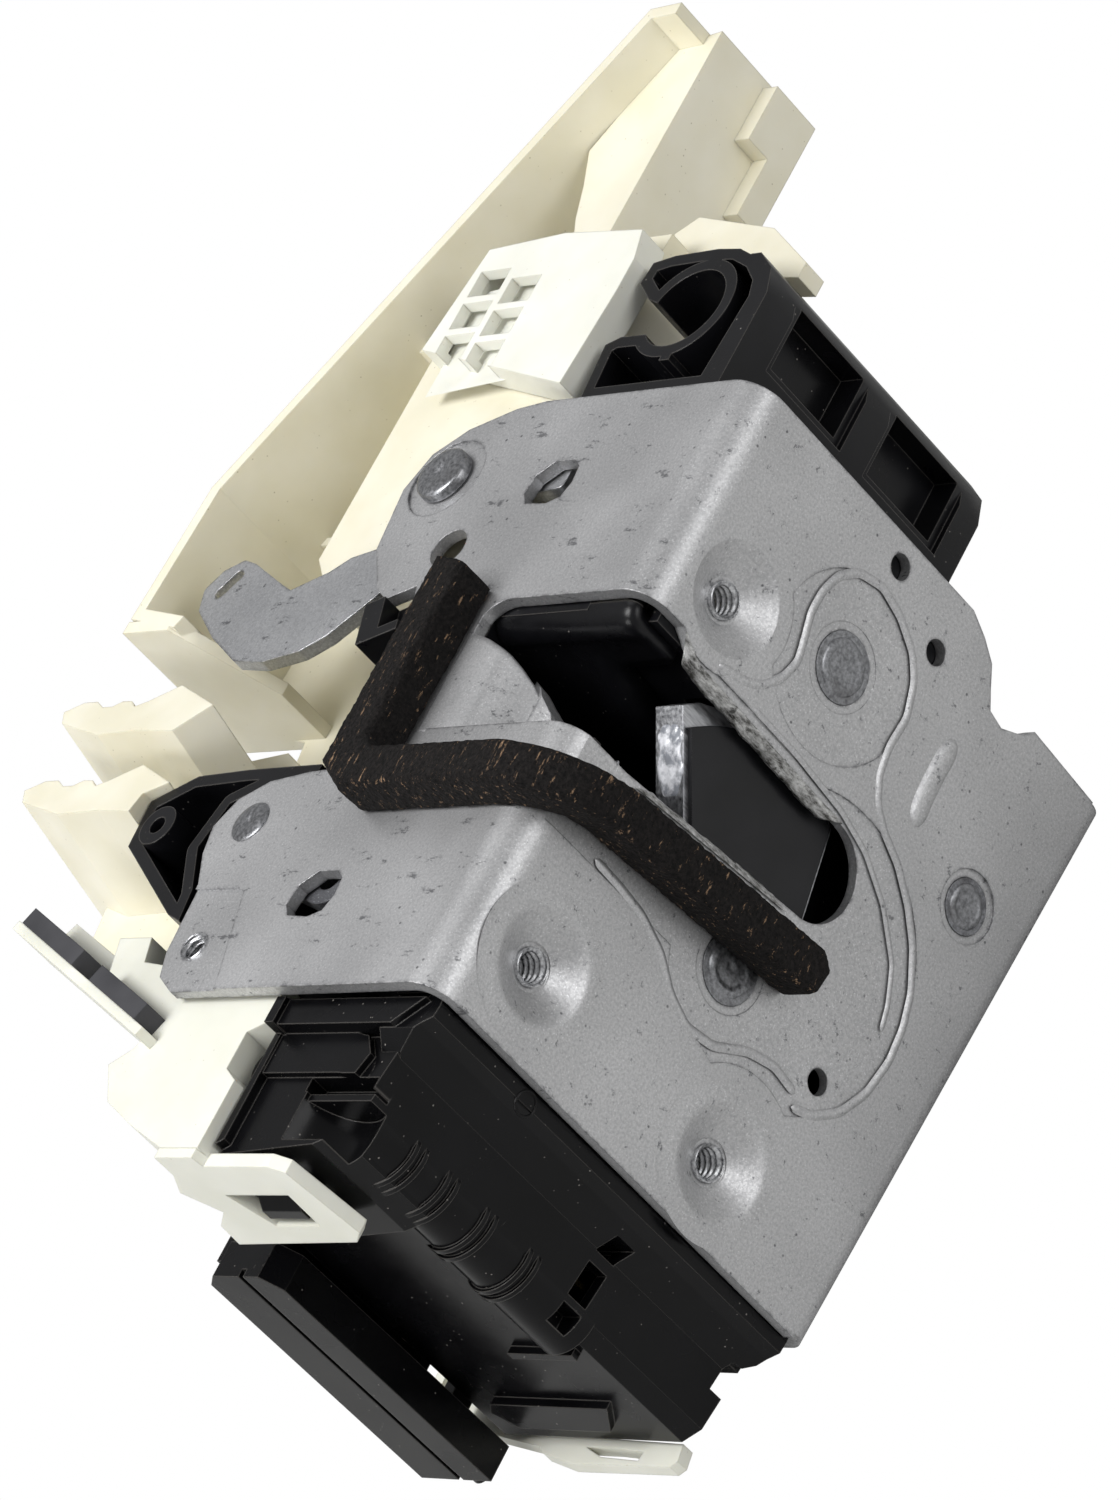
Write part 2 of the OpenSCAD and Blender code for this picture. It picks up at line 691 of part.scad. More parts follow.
module lever_spring(at) {
    z = lever_top - lever_t - 2.4;
    for (k = [0, 1]) translate([at[0], at[1], z - k * 1.1])
        rotate_extrude() translate([lever_pin_r + 1, 0]) circle(0.5, $fn = 16);
}

module release_spring() color("gray") lever_spring(release_at);

module inside_spring() color("gray") lever_spring(inside_at);

// Inside lever: pivot disc, cable arm and a short stop arm, all under the side arm of the plate
module inside_lever() color("lightgray") on_side(lever_top, lever_t) difference() {
    union() {
        translate(inside_at) circle(6.2);
        bar(inside_at, 5.4, inside_eye, 4);
    }
    translate(inside_at) circle(lever_pin_r + 1 + run_gap);
    translate(inside_eye) circle(1.8);
}

// Foam seal: one leg across the far edge of the mouth, one down to the bend, one down the door face
module foam_seal() color([0.09, 0.085, 0.08]) {
    x0 = mouth_off - mouth_w_in - 7.4;
    far = mouth_reach + 0.4;
    on_side(foam_h, foam_h) polygon([[12.8, far], [14, far + foam_w], [x0 - 2.4, far + foam_w], [x0 - foam_w, far + 1],
        [x0 - foam_w, 0], [x0, 0], [x0, far - 2], [x0 + 2, far]]);
    on_face(-foam_h, foam_h + panel_d) polygon([[x0 - foam_w, foam_h], [x0, foam_h], [x0 + 3.6, -7], [-9.8, -46.5],
        [-11.6, -49.6], [-16.6, -48.6], [x0 - 3.2, -9.4]]);
}

// Section of the band that covers the plate's lower edge, in X and Y, with its slope down to the panel
module cover_band() {
    polygon([[cover_x + 2.2, plate_t + 0.5], [cover_x + 0.3, plate_t + 0.2], [cover_x - 1.4, plate_t + 0.4],
        [cover_x - 2.4, 4], [cover_x - 5.6, panel_y + 0.5], [cover_x - 5.6, 11], [cover_x - 0.6, 11],
        [cover_x + 0.4, 5.6], [cover_x + 2.2, 4.6]]);
}

// Outline of the band seen from the front, in X and Z
module band_front() {
    polygon([[cover_x + 3, -4], [cover_x + 3, -cover_low + 0.4], [cover_x + 1.6, -cover_low - 0.8],
        [cover_x - 3.4, -cover_low - 0.8], [cover_x - 4.4, -cover_low], [cover_x - 4.6, -cover_low + 1.6],
        [cover_x - 7, -cover_low + 1.6], [cover_x - 7, -10.4], [cover_x - 5.2, hood_top], [cover_x - 3, -4]]);
}

// Box of the side cover below the hood, in X and Y; its front slants away from the plate
module body_outline() {
    polygon([[cover_x - 2.4, panel_y], [corner_at[0], corner_at[1] - ridge_r + 0.1], [body_x, corner_at[1] - 2],
        [body_x, body_w], [cover_x - 2.4, body_w]]);
}

// Hood above it, which reaches further out under the upper snap loop
module hood_outline() {
    polygon([[cover_x - 2.4, panel_y], [corner_at[0], corner_at[1] - ridge_r + 0.1],
        [corner_at[0] - ridge_r + 0.4, corner_at[1] - 2.6], [hood_x + 1.6, corner_at[1] + 1], [hood_x, hood_w],
        [cover_x - 2.4, hood_w]]);
}

cover_x = -plate_low - 0.9;
panel_y = 7.6;
body_x = cover_x - 15.2;
body_w = 45;
corner_at = [body_x + 2, panel_y + 6.1];
hood_x = -plate_low - hood_reach;
hood_top = -6;
shelf_z = -54;

module side_cover() color([0.13, 0.13, 0.15]) {
    difference() {
        union() {
            intersection() {
                translate([0, 0, -90]) linear_extrude(90) cover_band();
                on_face(-1, 20) band_front();
            }
            // deep wall beside the latch, which carries the box and the rail
            translate([cover_x - 2.6, 10, -cover_low]) cube([2, 45.2, cover_low - 3.2]);
            on_side(hood_top, hood_d) hood_outline();
            on_side(-13, cover_low - 12.2) body_outline();
            hood_steps();
            ridge();
            // ledges at the foot of the box
            translate([body_x - 1.2, corner_at[1] - 0.6, shelf_z - 2.2]) cube([1.3, 12, 1.2]);
            on_end(body_x - 1.3, 1.4) polygon([[17, -67], [39, -67], [40.6, -69], [38, -72.4], [21, -72.4]]);
        }
        hood_recesses();
        on_side(-13, -13 - shelf_z) offset(-wall) body_outline();
        // the end of the hood is an open skirt
        on_side(-13, hood_d) difference() {
            offset(-wall) hood_outline();
            translate([body_x, 0]) square([30, 60]);
        }
        // socket of the connector, open at the foot of the box
        on_side(shelf_z - 3, 30) translate([socket_at[0], socket_at[1]]) square([socket_w, socket_len]);
        pin_rows();
        // row of three windows in the front panel
        for (w = [[-5.8, 2.2], [-12.4, 5], [-16.4, 2.9]]) translate([cover_x + w[0], 3, -50.6]) cube([w[1], 9.6, 3.6]);
        translate([cover_x - 8.6, 0, -90]) cube([4, 12, 90 - cover_low + 1.6]);
        // room for the white side flange
        translate([cover_x - 5, hood_w + 0.2, -12.4]) cube([8, 40, 20]);
    }
    rail();
}

socket_at = [body_x + 3, 15];
socket_w = 8;
socket_len = 22;

// Raised forms on the hood: step at the plate, rim along the white cover, curved block, boss and catch
module hood_steps() {
    on_side(-3, 6) polygon([[cover_x + 0.9, 4], [cover_x - 2.9, panel_y + 0.6], [cover_x - 2.9, hood_w],
        [cover_x + 0.9, hood_w]]);
    on_side(-2.2, 3) polygon([[cover_x + 0.8, hood_w - 1.6], [cover_x - 3.1, hood_w - 1.6], [cover_x - 3.1, hood_w],
        [cover_x + 0.8, hood_w]]);
    on_side(hood_top + 1.4, 3) polygon([[cover_x - 2.5, hood_w - 1], [hood_x + 1.4, hood_w - 1.2],
        [hood_x + 0.6, hood_w], [cover_x - 2.5, hood_w]]);
    on_side(hood_top + 1, 3) polygon([[cover_x - 2.5, hood_w - 0.5], [cover_x - 2.7, 17], [cover_x - 3.4, 13.6],
        [cover_x - 6, 11.6], [cover_x - 9.2, 12.6], [cover_x - 8.9, 16], [cover_x - 8.9, hood_w - 0.5]]);
    peg_side([cover_x - 7, hood_w - 0.4], 3.3, hood_top - 12, hood_top - 0.2);
    // catch for the upper snap loop
    on_face(22.6, 7.4) polygon([[hood_x + 3.4, -11.8], [hood_x - 0.2, -11.8], [hood_x - 2.2, -15], [hood_x - 2.2, -16.6],
        [hood_x + 3.4, -16.6]]);
}

// Notch, thin web and scooped pocket in the top of the hood
module hood_recesses() {
    translate([cover_x - 11, 8.9, hood_top - 3]) cube([2, 12.4, 6]);
    translate([cover_x - 12, 8.9, hood_top - 0.7]) cube([2, 12, 6]);
    intersection() {
        translate([cover_x - 18.2, 13.6, hood_top + 2.6]) rotate([0, 90, 0]) cylinder(r = 7.8, h = 6.2);
        translate([cover_x - 19, 0, -20]) cube([8, 21, 30]);
    }
}

// Half-round ridge on the front corner, with its paired rings
module ridge() {
    peg_side(corner_at, ridge_r, shelf_z + 1, hood_top - 0.6);
    for (z = [-16, -22.3, -30, -38.8], d = [0, 1.7])
        peg_side(corner_at, ridge_r + 0.5, z - d - 0.35, z - d + 0.35);
}

// Rail on its web
module rail() {
    rail_x = hood_x - 2.6;
    difference() {
        translate([rail_x + 3, 53, -rail_low]) cube([cover_x - rail_x - 3.6, 2.2, rail_len - 1]);
        translate([rail_x + 9, 50, -rail_low + 3.6]) cube([4.4, 8, 5.4]);
    }
    difference() {
        on_end(rail_x, 5.4) polygon([[55.2, -rail_low], [55.2, rail_len - rail_low - 2], [53, rail_len - rail_low],
            [44.2, rail_len - rail_low], [55.2 - rail_w, rail_len - rail_low - 3], [55.2 - rail_w, -rail_low]]);
        translate([rail_x - 1, 55.2 - rail_w / 2 - 1.4, -rail_low - 1]) cube([2.2, 0.9, rail_len + 2]);
    }
    peg_side([rail_x + 1.9, 45.5], 1.6, -rail_low - 1.2, -rail_low + 0.1);
}

rail_low = 75;
loop_x = hood_x - 2.5;

// Two rows of five square pins
module pin_rows() {
    for (i = [0 : 4], j = [0, 1])
        translate([socket_at[0] + 1.6 + j * 4, socket_at[1] + 2.2 + i * 4.2, -67]) cube([0.8, 0.8, shelf_z + 68]);
}

module connector_pins() color("goldenrod") pin_rows();

// Brass strips on the front wall of the gear box that feed the motor and the switches
module contact_strips() color("goldenrod") for (i = [0 : 2])
    translate([-33.9, box_y0 + case_wall, -37.5 + i * 3.2]) cube([20 + 5 * i, 0.6, 2]);

// Plan of the tray, in X and Y; its far wall runs parallel to the door skin
module tray_outline() {
    polygon([[13.5, tray_reach], [36.5, tray_reach - 1], [tray_end, 65], [tray_end + 0.4, 56.5], [98, 56.5],
        [82, 56], [79, 48], [79, 40], [box_x1, 40], [-12, 40], [-12, 84], [10.5, 88]]);
}

// Tall wall round the far side of the tray, with its ribs
module tray_wall() {
    on_side(0, tray_h) intersection() {
        difference() {
            tray_outline();
            offset(-case_wall) tray_outline();
        }
        polygon([[11, 110], [11, 92.6], [60, 70], [112, 63], [112, 59], [130, 59], [130, 110]]);
    }
    // sloping end of the wall
    translate([11, 84, 0]) on_end(0, case_wall) polygon([[19, 0], [9.6, 0], [0, -15], [0, -tray_h], [19, -tray_h]]);
    // inner body under the release lever
    on_side(inner_top, tray_h + inner_top - 1) difference() {
        inner_outline();
        offset(-case_wall) inner_outline();
    }
    on_side(inner_top, case_wall) difference() {
        inner_outline();
        translate(release_at) circle(lever_pin_r + 3);
    }
    for (x = [40, 66, 77]) intersection() {
        translate([x, 60, -tray_h + 1]) cube([1.4, 40, x == 40 ? 8 : 17]);
        linear_extrude(200, center = true) polygon([[13.5, tray_reach - 1], [36.5, tray_reach - 2], [tray_end - 1, 65],
            [99, 62], [78, 62], [76, 76.5], [14, 76.5]]);
    }
}

inner_top = -5.2;
pad_line = [-55.6, 51];

module inner_outline() {
    polygon([[19, 44], [19, 71], [26, 77.4], [66, 77.4], [76, 68], [79, 61], [79, 41]]);
}

// Stepped hollow block at the upper end of the tray, and the low cheek beyond the cable clip
module end_block() {
    on_side(-6.5, tray_h - 7.5) difference() {
        end_outline();
        offset(-case_wall) end_outline();
    }
    on_side(-6.5, case_wall) end_outline();
    translate([108, 53.6, -tray_h + 0.5]) cube([9.6, 4, 9]);
    translate([98, 53.6, -tray_h + 0.5]) cube([10.2, 4, 4.6]);
    on_side(-10, 4) polygon([[77, 50], [84, 47.6], [86.5, 44.4], [82.4, 27.6], [75.2, 17.4], [72.6, 17.4], [74, 30], [73.4, 40]]);
    translate([77, 41, -tray_h]) cube([case_wall, 9, tray_h - 10.5]);
}

module end_outline() {
    polygon([[tray_end - 1, 64.4], [tray_end + 0.4, 56.5], [98, 56.5], [82, 56.5], [79.4, 59.4], [80.6, 62.8],
        [86, 65.6], [92, 67.8], [99, 71]]);
}

// Gear box: deep shell open at its far side, with motor cradle, bearing and slider rails
module gear_box() {
    front = box_y0 + case_wall;
    difference() {
        translate([box_x0, box_y0, -box_low]) cube([box_x1 - box_x0, box_reach - box_y0, box_low - tray_h + case_wall]);
        translate([box_x0 + case_wall, front, -box_low + case_wall])
            cube([box_x1 - box_x0 - 2 * case_wall, box_reach, box_low - tray_h - case_wall]);
    }
    // bearing of the worm shaft
    difference() {
        translate([worm_end - 3, front - 0.1, worm_z - 5]) cube([3, wheel_at[1] - front + 5, 10]);
        translate([worm_end - 4, wheel_at[1], worm_z]) rotate([0, 90, 0]) cylinder(r = shaft_r + run_gap, h = 6);
    }
    // motor cradle
    for (x = [motor_x + 3, motor_x + motor_len - 5]) difference() {
        translate([x, front - 0.1, -box_low + 1]) cube([2, wheel_at[1] - front + 1, 17]);
        translate([x - 1, wheel_at[1], worm_z]) rotate([0, 90, 0]) cylinder(r = motor_r + 0.05, h = 4);
    }
    // rails of the lock slider
    for (z = [slide_z - slide_h / 2 - 2.2, slide_z + slide_h / 2 + 0.2])
        translate([wheel_at[0] - 16, front - 0.1, z]) cube([34, slide_y + slide_t - front, 2]);
    // bosses of the cover screws
    for (at = lid_screws) difference() {
        peg(at, 4.4, box_y0 + 1, box_reach);
        peg(at, 1.5, box_reach - 11, box_reach + 1);
    }
    // posts that carry the shelf of the latch housing
    for (at = shelf_screws) difference() {
        peg_side(at, 3.6, -tray_h, housing_top - 14.1);
        peg_side(at, 1.5, -tray_h + 2, -10);
    }
}

module actuator_case() color([0.9, 0.88, 0.8]) {
    on_side(-tray_h + case_wall, case_wall) difference() {
        tray_outline();
        offset(-case_wall) inner_outline();
        offset(-case_wall) end_outline();
    }
    tray_wall();
    end_block();
    gear_box();
    // tapered blocks that guide the remote cables, cut back where the screw bracket stands
    guide([0, 0], -0.5, 25);
    difference() {
        guide([-13.4, -1.4], -0.5, 25);
        on_side(5, 20) offset(0.5) bracket_outline();
    }
    on_side(-tray_h + 10, 10) polygon([[-37, 66], [-38.4, 72], [-31, 97], [-12, 100], [0, 92], [2, 78], [-9, 60]]);
}

module guide(at, top, h) {
    translate([at[0], at[1], top]) rotate([0, 11.8, 0]) translate([0, 0, -h]) linear_extrude(h) guide_outline();
}

// Wavy plan of one cable guide block
module guide_outline() {
    polygon([[-8, 78], [-7.4, 86], [-7.8, 94], [-4.9, 104], [-2.4, 105.9], [-0.6, 103], [-0.6, 100.2],
        [-1.9, 98], [-1.9, 96], [-0.9, 94.6], [-1, 92.6], [-2.2, 91], [-1.3, 89], [1.7, 84.5], [-3, 74]]);
}

// White cover over the far side of the gear box, with its folded side flange and snap loops
module actuator_cover() color([0.93, 0.93, 0.9]) {
    face = box_reach + 0.1;
    difference() {
        translate([box_x0 - 6, face, -box_low]) cube([box_x1 - box_x0 + 6, lid_t, box_low - tray_h - 1]);
        for (at = lid_screws) peg(at, 1.7, face - 1, face + 5);
    }
    // boss of the wheel axle
    difference() {
        peg([wheel_at[0], wheel_at[2]], axle_r + 2.5, wheel_at[1] + wheel_t / 2 + 2.3, face + 0.1);
        peg([wheel_at[0], wheel_at[2]], axle_r, wheel_at[1], box_reach);
    }
    // side flange with the stepped top beside the side arm
    on_side(-3, 8.4) difference() {
        flange_outline();
        offset(-lid_t) flange_outline();
        translate(tab_hole) circle(m5_r + 2);
    }
    on_side(-3, lid_t) difference() {
        flange_outline();
        translate(tab_hole) circle(m5_r + 2);
    }
    translate([box_x0 - 4, 46, -box_low + 2]) cube([lid_t, face - 45, box_low - 5.2]);
    pad_strip();
    // upper snap loop, over the catch on the hood
    on_end(loop_x, 2) difference() {
        polygon([[41.6, -10.8], [39.2, -7], [39.2, -3.2], [32, -3.2], [31.6, -5.1], [19.5, -5.1], [17.2, -6.4],
            [15.3, -19], [17.6, -21], [40.9, -21.9], [40.6, -17.9], [37.2, -14.9]]);
        polygon([[33.2, -11.2], [21.2, -11.1], [21.4, -17.6], [29.8, -17.7]]);
    }
    // lower snap loop, under the foot of the side cover
    on_side(-77.4, 2) difference() {
        polygon([[-62.5, face + 1], [-64.7, 50.3], [-66.4, 39], [-67.3, 38], [-68.7, 32], [-68.5, 13.4],
            [-67.6, 12.5], [-65, 13], [-64.4, 40], [-60, 50], [-56, face + 1]]);
        polygon([[-66.1, 30.4], [-66.1, 24.9], [-66.4, 19.5], [-67.8, 19.7], [-67.5, 26.8]]);
    }
    translate([-62, face, -box_low]) cube([box_x0 + 57, lid_t, 4]);
}

// Slanted strip along the cable guides
module pad_strip() {
    on_side(0, 8) slant_strip(0, 42, 0, 1.4);
    on_side(-6, 2) polygon([[-56.2, 52.6], [-38, 88.6], [-34, 86], [-46, 60]]);
}

module flange_outline() {
    polygon([[box_x0 - 1.2, hood_w + 0.6], [cover_x - 2.6, hood_w + 0.6], [cover_x - 4, hood_w + 3.4],
        [cover_x - 9.6, hood_w + 3.4], [cover_x - 11.4, hood_w + 0.6], [loop_x + 1.4, hood_w + 0.6],
        [loop_x + 1.4, 38.9], [-68.5, 47.3], [-65, 54.2], [-59.2, 58.2], [-56.7, 54.9], [-53.5, 53.6], [box_x0 + 1, 68.5], [box_x0 + 7, 70.4], [box_x0 + 7, 64], [box_x0 + 3, 62.6]]);
}

// Plan of the ribbed white bracket that ties the clip block to the tray
module bracket_plan() {
    polygon([[48.6, 39.5], [57.9, 72.8], [75.4, 70.4], [76.6, 56], [75.2, 40], [70, 38.4], [64.2, 38.4]]);
}

module cable_bracket() color([0.93, 0.93, 0.9]) difference() {
    on_side(0, -inner_top - 0.3) bracket_plan();
    translate([0, 0, -9]) linear_extrude(7.2) offset(-1.4) bracket_plan();
    for (i = [0 : 2], j = [0, 1]) translate([55.4 + 5.7 * i - 2 * j, 63.4 - 7.4 * j, -3])
        cube([4.5, 6, 5]);
}

// Plan of a strip on the slanted line by the guides: from along to along + len, side to side + w across it
module slant_strip(along, len, side, w) {
    translate(pad_line) rotate(65) translate([along, side]) square([len, w]);
}

module edge_pads() color([0.25, 0.25, 0.27]) {
    on_side(0.6, 3.6) slant_strip(2, 15, -2.6, 2.6);
    on_side(0.6, 5.4) slant_strip(23, 17, -2.6, 2.6);
}

module lock_motor() color("gray") difference() {
    union() {
        translate([motor_x, wheel_at[1], worm_z]) rotate([0, 90, 0]) intersection() {
            cylinder(r = motor_r, h = motor_len);
            translate([-motor_r - 1, 1 - motor_r, 0]) cube([2 * motor_r + 2, 2 * motor_r - 2, motor_len]);
        }
        translate([motor_x + motor_len - 0.1, wheel_at[1], worm_z]) rotate([0, 90, 0]) cylinder(r = 3.4, h = 2);
        translate([motor_x - 1.6, wheel_at[1], worm_z]) rotate([0, 90, 0]) cylinder(r = 4, h = 2);
    }
    translate([motor_x + motor_len - 5, wheel_at[1], worm_z]) rotate([0, 90, 0]) cylinder(r = shaft_r + run_gap, h = 9);
}

module motor_terminals() color("goldenrod") for (s = [-1, 1])
    translate([motor_x - 3.6, wheel_at[1] + s * 6 - 0.3, worm_z - 1]) cube([3.6, 0.6, 2]);

// Worm: an off-centre disc swept along a steep twist, on its plain shaft
module worm() color("white") {
    turns = 6;
    translate([wheel_at[0] - turns / 2 * pitch, wheel_at[1], worm_z]) rotate([0, 90, 0])
        linear_extrude(turns * pitch, twist = -360 * turns, slices = 12 * turns, $fn = 16) translate([worm_rise, 0])
            circle(worm_mid, $fn = 16);
    translate([motor_x + motor_len - 4, wheel_at[1], worm_z]) rotate([0, 90, 0])
        cylinder(r = shaft_r, h = worm_end - 0.4 - motor_x - motor_len + 4);
}

// Worm wheel with its drive pin on the near face
module worm_wheel() color("ivory") translate(wheel_at) rotate([90, 0, 0]) {
    translate([0, 0, -wheel_t / 2]) linear_extrude(wheel_t) difference() {
        union() {
            circle(wheel_r - 0.8);
            for (k = [0 : wheel_teeth - 1]) rotate(k * 360 / wheel_teeth)
                translate([wheel_r - 1, 0]) polygon([[-0.2, -0.58], [2, -0.2], [2, 0.2], [-0.2, 0.58]]);
        }
        circle(axle_r + run_gap);
    }
    rotate(90 + wheel_turn / 2) translate([crank_r, 0, wheel_t / 2 - 0.1]) cylinder(r = crank_pin_r, h = 4.6);
    translate([0, 0, -wheel_t / 2 - 2]) difference() {
        cylinder(r = 5, h = 2.1);
        translate([0, 0, -1]) cylinder(r = axle_r + run_gap, h = 4);
    }
}

// Stub axle pressed in the boss of the white cover; it ends short of the slider
module wheel_axle() color("gray") peg([wheel_at[0], wheel_at[2]], axle_r, wheel_at[1] - wheel_t / 2 + 0.2, box_reach);

// Lock slider: plate with the upright slot for the wheel's pin, tail and blocking finger
module lock_slider() color("white") {
    pin_x = wheel_at[0] - crank_r * sin(wheel_turn / 2);
    on_face(slide_y, slide_t) difference() {
        union() {
            translate([pin_x - 6, slide_z - slide_h / 2]) square([12, slide_h]);
            translate([pin_x - 22, slide_z - 2]) square([17, 4]);
        }
        hull() {
            translate([pin_x, slide_z - 1.6]) circle(crank_pin_r + 0.45, $fn = 32);
            translate([pin_x, slide_z + 1.6]) circle(crank_pin_r + 0.45, $fn = 32);
        }
    }
}

module microswitches() color([0.15, 0.15, 0.15]) for (x = [-36, -22]) {
    translate([x, box_y0 + case_wall + 0.7, -52]) cube([11, 5, 7]);
    translate([x + 2, box_y0 + case_wall + 2, -45.1]) cube([3, 2.4, 1.6]);
}

// Screws of the white cover and of the housing shelf
module cover_screws() color("gray") {
    for (at = lid_screws) {
        peg(at, 1.49, box_reach - 10, box_reach + lid_t + 0.2);
        peg(at, 3.2, box_reach + lid_t + 0.1, box_reach + lid_t + 2, 2.4);
    }
    for (at = shelf_screws) {
        peg_side(at, 1.49, housing_top - 22, housing_top - 10.9);
        peg_side(at, 3, housing_top - 11, housing_top - 9, 2.4);
    }
}

latch_plate();
back_plate();
latch_housing();
claw();
claw_jacket();
claw_pivot();
claw_spring();
pawl();
pawl_lever();
pawl_pivot();
pawl_spring();
stop_rivet();
bumper();
foam_seal();
release_lever();
release_pin();
release_spring();
inside_lever();
inside_pin();
inside_spring();
side_cover();
connector_pins();
contact_strips();
actuator_case();
actuator_cover();
cable_bracket();
edge_pads();
lock_motor();
motor_terminals();
worm();
worm_wheel();
wheel_axle();
lock_slider();
microswitches();
cover_screws();
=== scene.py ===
"""Looks of the door latch actuator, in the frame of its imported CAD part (metres).

The pieces are computed in millimetres. The plate's door face lies in y = 0 and looks towards -Y, its side arm
lies in z = 0 and looks towards +Z, and X runs along the bend between them.
"""

import math  # noqa: E402

import bmesh  # noqa: E402
import bpy  # noqa: E402
import numpy as np  # noqa: E402
from mathutils import Matrix, Vector  # noqa: E402


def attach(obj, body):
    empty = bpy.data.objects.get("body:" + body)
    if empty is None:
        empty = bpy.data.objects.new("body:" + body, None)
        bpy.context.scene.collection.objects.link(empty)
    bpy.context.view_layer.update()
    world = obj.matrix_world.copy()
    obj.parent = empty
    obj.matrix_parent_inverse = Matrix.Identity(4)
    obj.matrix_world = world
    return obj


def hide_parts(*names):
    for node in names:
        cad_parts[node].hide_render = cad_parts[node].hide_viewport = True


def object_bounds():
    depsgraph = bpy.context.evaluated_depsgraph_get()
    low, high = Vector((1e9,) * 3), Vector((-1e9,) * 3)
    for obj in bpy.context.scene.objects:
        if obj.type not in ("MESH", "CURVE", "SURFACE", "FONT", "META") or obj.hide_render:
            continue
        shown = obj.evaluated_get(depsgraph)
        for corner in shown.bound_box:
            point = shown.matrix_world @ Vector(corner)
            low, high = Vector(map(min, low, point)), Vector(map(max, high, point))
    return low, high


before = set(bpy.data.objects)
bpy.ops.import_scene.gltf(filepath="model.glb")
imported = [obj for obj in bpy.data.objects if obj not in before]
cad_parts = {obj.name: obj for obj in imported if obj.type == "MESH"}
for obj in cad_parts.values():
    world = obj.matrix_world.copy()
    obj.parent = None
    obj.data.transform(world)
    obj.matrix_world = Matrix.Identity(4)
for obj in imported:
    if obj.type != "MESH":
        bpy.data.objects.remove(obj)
bounds_at_load = [list(v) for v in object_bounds()]
MM = 0.001
rng = np.random.default_rng(7)

# Places on the plate in mm: (x, z) on the door face, (x, y) on the side arm.
FACE_SCREWS = ((19.8, -13.1), (-37.4, -13.5), (-39.5, -51.9))
SIDE_SCREW = (-42.8, 50.2)
CLAW_PIVOT, PAWL_PIVOT, STOP_RIVET = (-18.4, -39.4), (24.7, -33.2), (13.3, -68.9)
RELEASE_PIN, INSIDE_PIN = (33.6, 51.9), (-23.2, 52.4)
# The moulded parts that the pieces stand on: far face of the white cover (y), wheel behind it (x, z).
COVER_FACE_Y, WHEEL = 64.1, (8, -46)
WELD = 0.0002 * MM  # points closer than this are one point


# ---------------------------------------------------------------- node materials
def srgb(hex_colour):
    """Linear RGBA of an sRGB hex colour."""
    c = [int(hex_colour[i:i + 2], 16) / 255 for i in (1, 3, 5)]
    return [x / 12.92 if x <= 0.04045 else ((x + 0.055) / 1.055) ** 2.4 for x in c] + [1.0]


def add(tree, kind, values=None, out=0, **settings):
    """Adds a node with its settings and gives its output; a value that is a socket is linked, another is set."""
    node = tree.nodes.new(kind)
    for key, value in settings.items():
        setattr(node, key, value)
    for key, value in (values or {}).items():
        if isinstance(value, bpy.types.NodeSocket):
            tree.links.new(value, node.inputs[key])
        else:
            node.inputs[key].default_value = value
    return node.outputs[out]


def cloudy(t, at, size_mm, detail=2.0, rough=0.5, stretch=(1, 1, 1)):
    """Pattern between 0 and 1 whose lumps are about size_mm across; a stretch below 1 draws them out that way."""
    at = add(t, "ShaderNodeMapping", {"Vector": at, "Scale": stretch})
    lumps = {"Vector": at, "Scale": 1 / (size_mm * MM), "Detail": detail, "Roughness": rough}
    return add(t, "ShaderNodeTexNoise", lumps)


def edge_pattern(t, radius_mm):
    """1 on flat faces and less near edges: the normal rounded by radius_mm times the true one."""
    bent = add(t, "ShaderNodeBevel", {"Radius": radius_mm * MM}, samples=6)
    flat = add(t, "ShaderNodeNewGeometry", out="Normal")
    return add(t, "ShaderNodeVectorMath", {0: bent, 1: flat}, out="Value", operation="DOT_PRODUCT")


def coat(t, under, over, *covers):
    """Colour over laid on colour under; a cover is (pattern, where it begins, where it is full, share then reached).

    With several covers, the colour lies where all of them do.
    """
    part = None
    for pattern, begins, full, share in covers:
        one = add(t, "ShaderNodeMapRange", {0: pattern, 1: begins, 2: full, 3: 0.0, 4: share})
        part = one if part is None else add(t, "ShaderNodeMath", {0: part, 1: one}, operation="MULTIPLY")
    under, over = (srgb(c) if isinstance(c, str) else c for c in (under, over))
    return add(t, "ShaderNodeMix", {0: part, 6: under, 7: over}, out=2, data_type="RGBA")


def start(name):
    """A material with its node tree, its Principled node and the object coordinates."""
    m = bpy.data.materials.new(name)
    m.use_nodes = True
    t = m.node_tree
    return m, t, t.nodes["Principled BSDF"], add(t, "ShaderNodeTexCoord", out="Object")


def finish(t, shader, colour, rough, metal=0.0, height=None, depth_mm=0.02, edge_mm=0.25):
    """Gives the shader its colour, roughness and relief; edges are rounded in the shading by edge_mm."""
    for key, value in (("Base Color", colour), ("Roughness", rough), ("Metallic", metal)):
        if isinstance(value, bpy.types.NodeSocket):
            t.links.new(value, shader.inputs[key])
        else:
            shader.inputs[key].default_value = value
    normal = add(t, "ShaderNodeBevel", {"Radius": edge_mm * MM}, samples=4)
    if height is not None:
        relief = {"Height": height, "Distance": depth_mm * MM, "Strength": 1.0, "Normal": normal}
        normal = add(t, "ShaderNodeBump", relief)
    t.links.new(normal, shader.inputs["Normal"])


